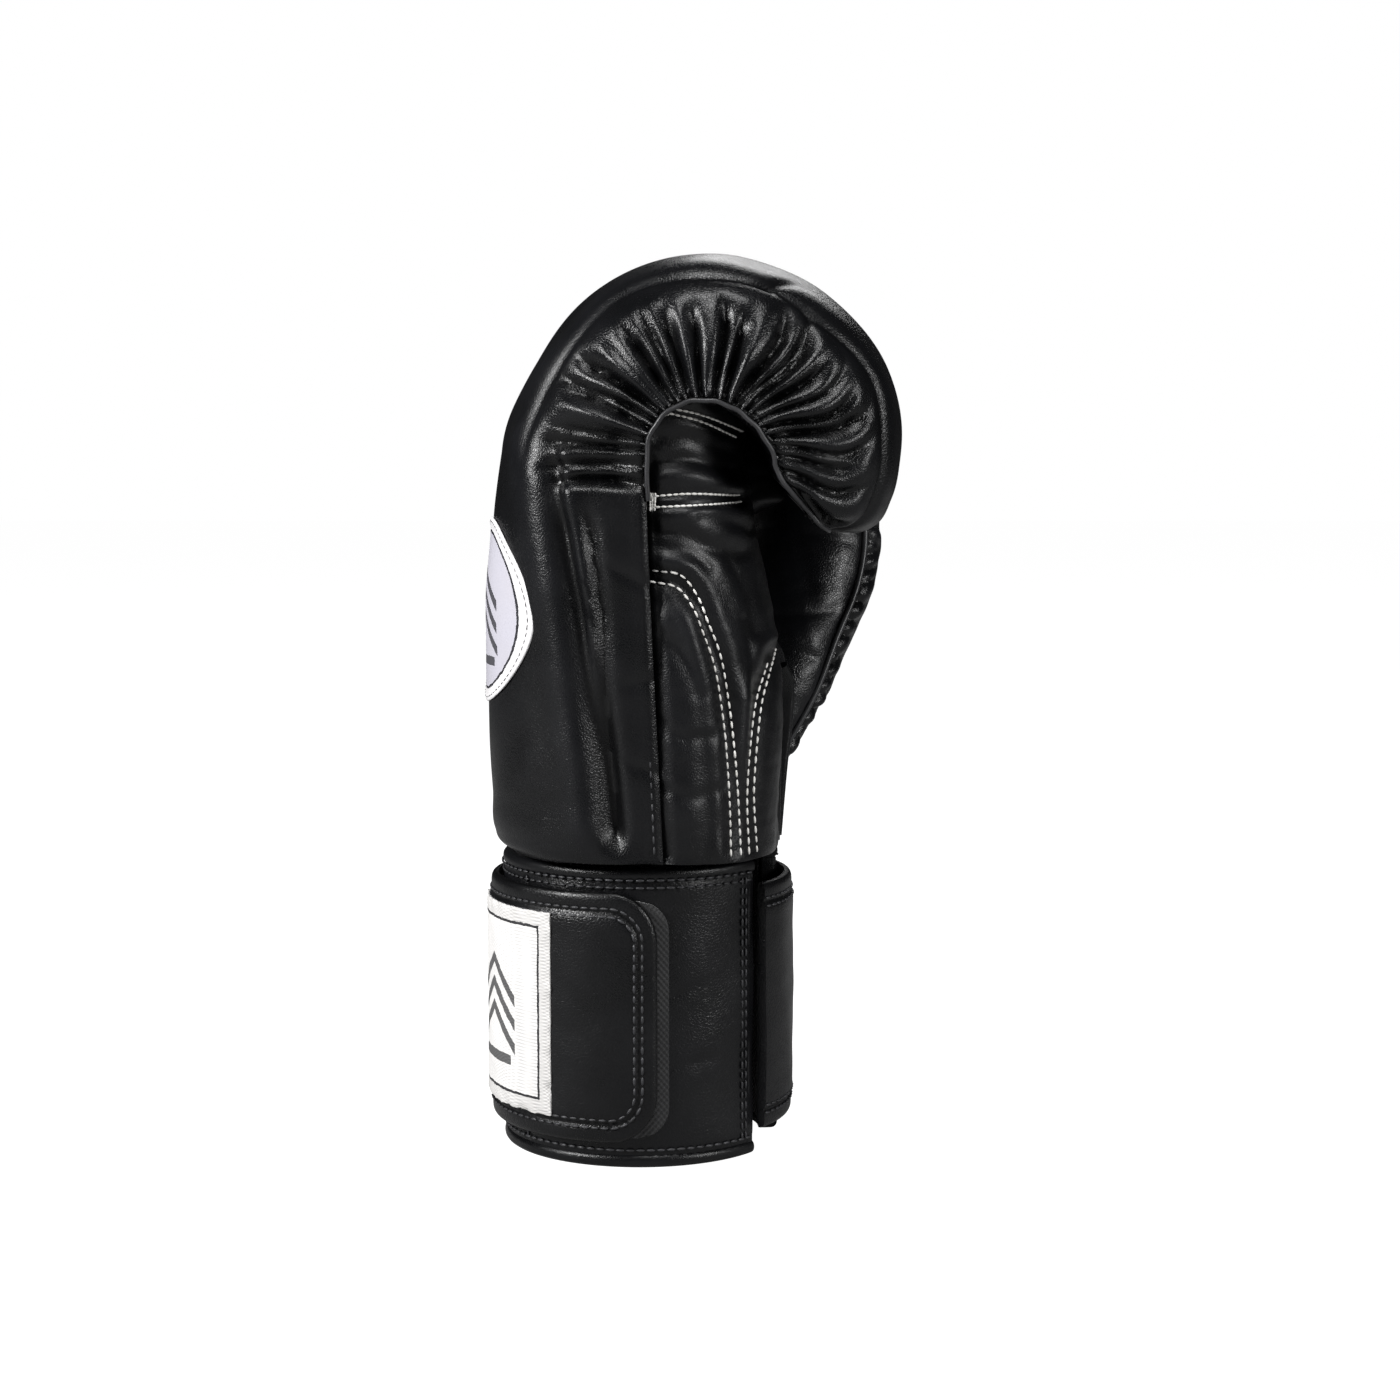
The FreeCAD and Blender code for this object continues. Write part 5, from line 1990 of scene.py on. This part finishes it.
    def lining(self) -> None:
        """The cloth inside the cuff, and the sleeve that joins it to the hand."""
        turns = np.linspace(self.start_deg + 1, self.end_deg - 1, 120)
        heights = np.linspace(2.5, self.height - 2.5, 40)
        z, turn = np.meshgrid(heights, turns, indexing="ij")
        plain = on_ring(np.full_like(z, self.inner), turn, z)
        soft = 0.3 * unevenness(plain, 24.0, 91)
        inner = on_ring(self.inner - 0.2 + soft, turn, z)
        outer = on_ring(np.full_like(z, self.inner + 0.9), turn, z)
        self.closed_wall("cuff_lining_cloth", outer, inner, soft, "lining_cloth", ("cuff_lining",))
        rise = np.linspace(0, 1, 16)
        share, turn = np.meshgrid(rise, np.linspace(self.start_deg + 6, self.end_deg - 6, 110),
                                  indexing="ij")
        low = on_ring(np.full_like(share, self.inner + 1.2), turn, self.height - 7.0 + 0 * share)
        angle = np.radians(turn)
        high = np.stack([-2.5 + 41.0 * np.cos(angle), -2.0 + 40.5 * np.sin(angle),
                         np.full_like(share, self.height + 9.0)], axis=-1)
        blend = ramp(share, 0.15, 0.95)[..., None]
        grid = low * (1 - blend) + high * blend
        grid[..., 2] = (self.height - 7.0) + 16.0 * share
        _, flip = outward(grid, np.array([0.0, 0.0, self.height]))
        piece = grid_object("wrist_sleeve", grid, flip)
        store(piece, "relief", 0 * share)
        thicken(piece, 1.0)
        base = self.height * MM
        self.finishes.fit(piece, "lining_cloth", "cuff", "hand",
                          fold=((0.042, 0.0, base - 0.002), (0.042, 0.0, base + 0.007)))


def wall_faces(rows: int, columns: int) -> list[tuple[int, ...]]:
    """Faces of a closed wall between two grids, the outer one's points first.

    The rows climb and the columns turn anticlockwise seen from above, so the outer side faces out.

    Args:
        rows: Number of rows.
        columns: Number of columns.

    Returns:
        Corner numbers of each face.
    """
    count = rows * columns
    index = np.arange(count).reshape(rows, columns)
    faces = grid_faces(rows, columns, flip=True)
    faces += [tuple(k + count for k in face) for face in grid_faces(rows, columns)]
    loop = np.concatenate([index[0, :], index[1:, -1], index[-1, -2::-1], index[-2:0:-1, 0]]).tolist()
    for a, b in zip(loop, loop[1:] + loop[:1]):
        faces.append((b, a, a + count, b + count))
    return faces


def wall_object(name: str, outer: Array, inner: Array) -> Thing:
    """A closed wall between two grids.

    Args:
        name: Object name.
        outer: Outer points by row and column.
        inner: Inner points by row and column.

    Returns:
        The linked object.
    """
    return make_object(name, np.concatenate([outer.reshape(-1, 3), inner.reshape(-1, 3)]),
                       wall_faces(*outer.shape[:2]))


@dataclass
class Strap(Section):
    """The wrist strap in three stretches with two folds and a free end, its hooks and its label."""

    start_deg: float = -36.0
    joins_deg: tuple[float, float] = (20.0, 110.0)
    folds_deg: tuple[float, float, float] = (-25.0, 60.0, 160.0)
    end_deg: float = 277.0
    label_deg: float = 201.0
    fold_half: float = 6.5
    corner: float = 16.0
    edge_width: float = 6.0
    inner: float = 47.0
    thick: float = 3.7
    low: float = field(init=False)
    high: float = field(init=False)

    def __post_init__(self) -> None:
        """Reads the places from the model."""
        self.low, self.high = (corner[2] for corner in box_mm("strap_root"))

    def outline(self, z: Array, turn: Array) -> Array:
        """Distance from the strap's edge, with the free end's round corners.

        Args:
            z: Heights.
            turn: Turns in degrees.

        Returns:
            Distances, 0 at the edge.
        """
        outside = self.inner + self.thick
        up = np.minimum(z - self.low, self.high - z)
        along = np.radians(self.end_deg - turn) * outside
        corner = self.corner
        in_corner = (up < corner) & (along < corner)
        rounded_edge = corner - np.hypot(corner - up, corner - along)
        return np.clip(np.where(in_corner, rounded_edge, np.minimum(up, along)), 0.0, None)

    def thickness(self, gap: Array, swell: Array) -> Array:
        """Thickness at a distance from the edge: a rolled binding, a sewn groove and the padded face.

        Args:
            gap: Distance from the edge.
            swell: Small unevenness of the face.

        Returns:
            Thicknesses.
        """
        roll = 1.6 + 1.5 * np.sqrt(np.clip(1 - (1 - np.clip(gap / 2.4, 0, 1)) ** 2, 0, 1))
        face = (self.thick - 3.1) * ramp(gap, self.edge_width, self.edge_width + 3.0)
        return roll + face + groove(gap - self.edge_width, 0.7, 0.55) + swell

    def stretch(self, name: str, start: float, end: float, fold: float, bodies: tuple[str, str],
                nodes: Sequence[str]) -> None:
        """One stretch of the strap.

        Args:
            name: Object name.
            start: Turn where it starts.
            end: Turn where it ends.
            fold: Turn of its fold.
            bodies: The body before the fold and the one after it.
            nodes: Nodes that it stands for.
        """
        heights = np.concatenate([
            self.low + np.array([0, 0.15, 0.5, 1.0, 1.7, 2.6, 3.8, 5.0, 5.6, 6.2, 6.8, 7.6, 8.8]),
            np.linspace(self.low + 11, self.high - 11, 34),
            self.high - np.array([8.8, 7.6, 6.8, 6.2, 5.6, 5.0, 3.8, 2.6, 1.7, 1.0, 0.5, 0.15, 0])])
        free = end == self.end_deg
        count = max(24, int((end - start) * 0.9))
        share = np.linspace(0, 1, count)
        if free:
            share = np.concatenate([np.linspace(0, 0.84, 110, endpoint=False), np.linspace(0.84, 1, 60)])
        up = np.minimum(heights - self.low, self.high - heights)
        if free:
            drop = np.clip(self.corner - up, 0, self.corner)
            cut = self.corner - np.sqrt(self.corner**2 - drop**2)
            last = end - np.degrees(cut / (self.inner + self.thick))
        else:
            last = np.full_like(heights, end)
        z, part = np.meshgrid(heights, share, indexing="ij")
        turn = start + (last[:, None] - start) * part
        gap = self.outline(z, turn)
        plain = on_ring(np.full_like(z, self.inner), turn, z)
        swell = 0.22 * unevenness(plain, 17.0, 101) * ramp(gap, 6.0, 12.0)
        for middle in self.folds_deg[1:]:
            away = np.radians(turn - middle) * self.inner
            swell += groove(away - 1.5, 1.6, 0.4, 1.5) + groove(away + 2.5, 1.2, 0.25, 1.5)
        rise = self.thickness(gap, swell)
        outer = on_ring(self.inner + rise, turn, z)
        inner = on_ring(self.inner + 0.05 + 0.6 * ramp(gap, 1.5, 0.0), turn, z)
        piece = wall_object(name, outer, inner)
        store(piece, "relief", np.concatenate([(rise - self.thick).reshape(-1), np.zeros(rise.size)]))
        self.finishes.fit(piece, "cuff_leather", *bodies, fold=self.fold(fold), fill=0.3, nodes=nodes)

    def fold(self, turn_deg: float) -> tuple[Point, Point]:
        """Start and end of the bend at a fold, in metres.

        Args:
            turn_deg: Turn of the fold.

        Returns:
            The two points.
        """
        turn = math.radians(turn_deg)
        centre = np.array([math.cos(turn), math.sin(turn), 0.0]) * (self.inner + self.thick)
        centre[2] = (self.low + self.high) / 2
        along = np.array([-math.sin(turn), math.cos(turn), 0.0]) * self.fold_half
        return tuple((centre - along) * MM), tuple((centre + along) * MM)

    def build(self) -> None:
        """Makes the strap, its stitches, its hooks and its label."""
        join, last_join = self.joins_deg
        near, middle, peel = self.folds_deg
        self.stretch("strap_first", self.start_deg, join, near, ("cuff", "strap_near"),
                     ("strap_root", "strap_near_face", "strap_near_foam", "strap_near_lining",
                      "strap_near_binding"))
        self.stretch("strap_second", join, last_join, middle, ("strap_near", "strap_middle"),
                     ("strap_middle_face", "strap_middle_foam", "strap_middle_lining",
                      "strap_middle_binding"))
        self.stretch("strap_tab", last_join, self.end_deg, peel, ("strap_middle", "strap_end"),
                     ("strap_end_face", "strap_end_foam", "strap_end_binding"))
        self.sew()
        self.hooks()
        self.label()

    def sew(self) -> None:
        """Double rows of stitches beside the binding, one piece for each stretch."""
        spans = (("strap_first_stitches", self.start_deg + 2, self.joins_deg[0], self.folds_deg[0],
                  ("cuff", "strap_near")),
                 ("strap_second_stitches", self.joins_deg[0], self.joins_deg[1], self.folds_deg[1],
                  ("strap_near", "strap_middle")),
                 ("strap_tab_stitches", self.joins_deg[1], self.end_deg, self.folds_deg[2],
                  ("strap_middle", "strap_end")))
        outside = self.inner + self.thick
        for number, (name, start, end, fold, bodies) in enumerate(spans):
            rows = []
            for inset, lift in ((5.0, 3.1), (7.6, 3.4)):
                if end != self.end_deg:
                    turn = np.arange(start, end, 1.0)
                    rows += [on_ring(np.full_like(turn, self.inner + lift + 0.12), turn, z)
                             for z in (self.low + inset, self.high - inset)]
                    continue
                corner = self.corner - inset
                tip = end - math.degrees(inset / outside)
                centre = tip - math.degrees(corner / outside)
                arc = np.linspace(0, math.pi / 2, 14)
                low_turn = centre + np.degrees(corner * np.sin(arc) / outside)
                low_z = self.low + inset + corner * (1 - np.cos(arc))
                along = np.arange(start, centre, 1.0)
                turn = np.concatenate([along, low_turn, low_turn[::-1], along[::-1]])
                z = np.concatenate([np.full(len(along), self.low + inset), low_z,
                                    (self.low + self.high) - low_z[::-1],
                                    np.full(len(along), self.high - inset)])
                rows.append(on_ring(np.full_like(turn, self.inner + lift + 0.12), turn, z))
            piece = self.stitcher.rows(name, rows, Thread.BLACK, 3.3, 2.7, 0.95, 20 + number)
            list(self.fold(fold))
            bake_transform(piece)

    def hooks(self) -> None:
        """The hook tape under the strap's free end."""
        turns = np.linspace(196.0, 272.0, 60)
        heights = np.linspace(self.low + 9.0, self.high - 9.0, 50)
        z, turn = np.meshgrid(heights, turns, indexing="ij")
        rough = 0.08 * unevenness(on_ring(np.full_like(z, self.inner), turn, z), 2.4, 111)
        inner = on_ring(self.inner - 0.35 + rough, turn, z)
        outer = on_ring(np.full_like(z, self.inner + 0.3), turn, z)
        piece = wall_object("strap_hook_tape", outer, inner)
        self.finishes.fit(piece, "hook_tape", "strap_end", nodes=("hook_patch",))

    def label(self) -> None:
        """The woven label on the strap, framed and frayed, with a plain mark."""
        z0, z1 = (corner[2] for corner in box_mm("strap_label"))
        outside = self.inner + self.thick
        half, centre = math.degrees(31.0 / outside), self.label_deg
        heights, turns = np.linspace(z0, z1, 60), np.linspace(centre - half, centre + half, 70)
        z, turn = np.meshgrid(heights, turns, indexing="ij")
        across = (turn - centre) / half
        up = 2 * (z - z0) / (z1 - z0) - 1
        rim = np.maximum(np.abs(across), np.abs(up))
        plain = on_ring(np.full_like(z, outside), turn, z)
        fray = 0.3 * unevenness(plain, 4.0, 121) * ramp(rim, 0.86, 1.0)
        rise = 0.75 + 0.1 * unevenness(plain, 11.0, 122) + fray - 0.25 * ramp(rim, 0.96, 1.0)
        wavy = turn + across * np.degrees(fray / outside) * 1.6
        outer = on_ring(outside + rise, wavy, z + up * fray)
        inner = on_ring(np.full_like(z, outside - 0.1), turn, z)
        piece = wall_object("woven_strap_label", outer, inner)
        pairs = np.stack([0.5 + across / 2, 0.5 + up / 2], axis=-1).reshape(-1, 2)
        store_map(piece, np.concatenate([pairs, pairs]))
        self.finishes.fit(piece, "woven_label", "strap_end", nodes=("strap_label",))


@dataclass
class Room(Section):
    """The cloth that lines the hand's room, seen through the wrist."""

    def build(self) -> None:
        """Makes the lining."""
        lower = self.shape.lower
        rows = []
        heights = np.concatenate([np.arange(1.0, 128.0, 3.0), [130.0, 133.0, 135.5, 137.2, 138.2]])
        closing = np.concatenate([np.ones(len(heights) - 5), [0.97, 0.86, 0.66, 0.38, 0.06]])
        for height, close in zip(heights.tolist(), closing.tolist()):
            place = min(height, self.shape.length)
            s = self.shape.sections(np.array(place))
            turn = np.linspace(0, math.pi, 40)
            y = -2.0 + 38.0 * np.sign(np.cos(turn)) * np.abs(np.cos(turn)) ** 0.8
            seam = self.shape.curl[0] - float(s["base"])
            top = float(s["top"]) - 20.0 - float(s["base"])
            back = np.stack([seam - top * np.abs(np.sin(turn)) ** 0.8, y], axis=1)
            depth = max(3.0, 38.0 - seam - 0.0012 * max(0.0, height - 60) ** 2.2)
            front = np.stack([seam + depth * np.abs(np.sin(turn[1:-1])) ** 0.8, y[1:-1][::-1]], axis=1)
            ring = np.vstack([back, front])
            middle = ring.mean(axis=0)
            ring = middle + (ring - middle) * close
            rows.append(np.column_stack([ring, np.full(len(ring), lower + height)]))
        grid = np.array(rows)
        middle = grid.mean(axis=1, keepdims=True)
        normal, flip = outward(grid, middle * np.ones_like(grid), wrap=True)
        soft = 0.7 * unevenness(grid, 22.0, 131) * ramp(grid[..., 2], lower + 1, lower + 20)
        grid = grid - normal * (0.6 + soft)[..., None]
        faces = grid_faces(grid.shape[0], grid.shape[1], True, not flip)
        slit = (2.4, 11.6)
        kept = []
        flat = grid.reshape(-1, 3)
        for face in faces:
            spot = flat[list(face)].mean(axis=0)
            if slit[0] < spot[1] < slit[1] and spot[0] > 20 and spot[2] < lower + 55:
                continue
            kept.append(face)
        kept += end_caps(*grid.shape[:2], flip)[1:]
        piece = make_object("hand_lining", grid, kept)
        thicken(piece, 0.9)
        self.finishes.fit(piece, "lining_cloth", "hand",
                          nodes=("back_lining", "palm_lining", "finger_lining"))


@dataclass
class Studio:
    """A pale floor, soft lights, a white surround and the camera."""

    lens: float = 70.0
    camera_at: Point = (0.0195, -0.9, 0.237)
    aim: Point = (0.0195, 0.0, 0.1466)
    lamps: tuple[tuple[str, Point, float, float], ...] = (
        ("key", (-1.0, -0.6, 0.7), 0.42, 24.0), ("fill", (1.05, -0.7, 0.5), 0.35, 9.0),
        ("back", (0.2, 1.0, 0.9), 0.5, 3.0), ("top", (0.05, -0.45, 1.15), 0.4, 8.0))

    def build(self) -> None:
        """Makes the studio."""
        self.floor()
        self.surround()
        for lamp in self.lamps:
            self.light(*lamp)
        self.camera()

    def floor(self) -> None:
        """The plain pale floor."""
        size = 6.0
        mesh = bpy.data.meshes.new("floor")
        mesh.from_pydata([(-size, -size, 0), (size, -size, 0), (size, size, 0), (-size, size, 0)], [],
                         [(0, 1, 2, 3)])
        floor = linked("floor", mesh)
        material, nodes, shader = start_material("pale_floor")
        seen = nodes.add("ShaderNodeLightPath").outputs["Is Camera Ray"]
        nodes.fill(shader, {"Base Color": (0.3, 0.3, 0.3, 1.0), "Roughness": 0.9,
                            "Specular IOR Level": 0.1, "Emission Color": (1.0, 1.0, 1.0, 1.0),
                            "Emission Strength": nodes.spread(seen, 0.0, 1.0, 0.015, 0.985)})
        paint(floor, material)

    def surround(self) -> None:
        """A white surround that the camera sees, dimmer where it only lights the glove."""
        world = bpy.data.worlds.new("surround")
        bpy.context.scene.world = world
        world.use_nodes = True
        nodes = Nodes(world.node_tree)
        back = world.node_tree.nodes["Background"]
        seen = nodes.add("ShaderNodeLightPath").outputs["Is Camera Ray"]
        nodes.fill(back, {"Color": (1.0, 1.0, 1.0, 1.0), "Strength": nodes.spread(seen, 0.0, 1.0, 0.02, 1.0)})
        bpy.context.scene.view_settings.view_transform = "Standard"

    def light(self, name: str, place: Point, size: float, power: float) -> None:
        """A soft square light aimed at the glove.

        Args:
            name: Light name.
            place: Where it stands.
            size: Side of the light in metres.
            power: Power in watts.
        """
        data = bpy.data.lights.new(name, "AREA")
        data.size = size
        data.energy = power
        lamp = linked(name, data)
        lamp.location = place
        lamp.rotation_euler = (Vector(self.aim) - Vector(place)).to_track_quat("-Z", "Y").to_euler()

    def camera(self) -> None:
        """The camera, level with the glove's upper half."""
        data = bpy.data.cameras.new("camera")
        data.lens = self.lens
        data.sensor_width = 36.0
        data.clip_start = 0.02
        camera = linked("camera", data)
        camera.location = self.camera_at
        toward = Vector(self.aim) - Vector(self.camera_at)
        camera.rotation_euler = toward.to_track_quat("-Z", "Y").to_euler()
        bpy.context.scene.camera = camera


def main() -> None:
    """Builds the glove piece by piece, then the studio."""
    finishes = Finishes()
    stitcher = Stitcher(finishes)
    shape = HandShape()
    for section in (Shell, Palm, Thumb, Cuff, Strap, Room):
        log.info("building %s", section.__name__)
        section(shape, finishes, stitcher).build()
    Studio().build()


if __name__ == "__main__":
    main()
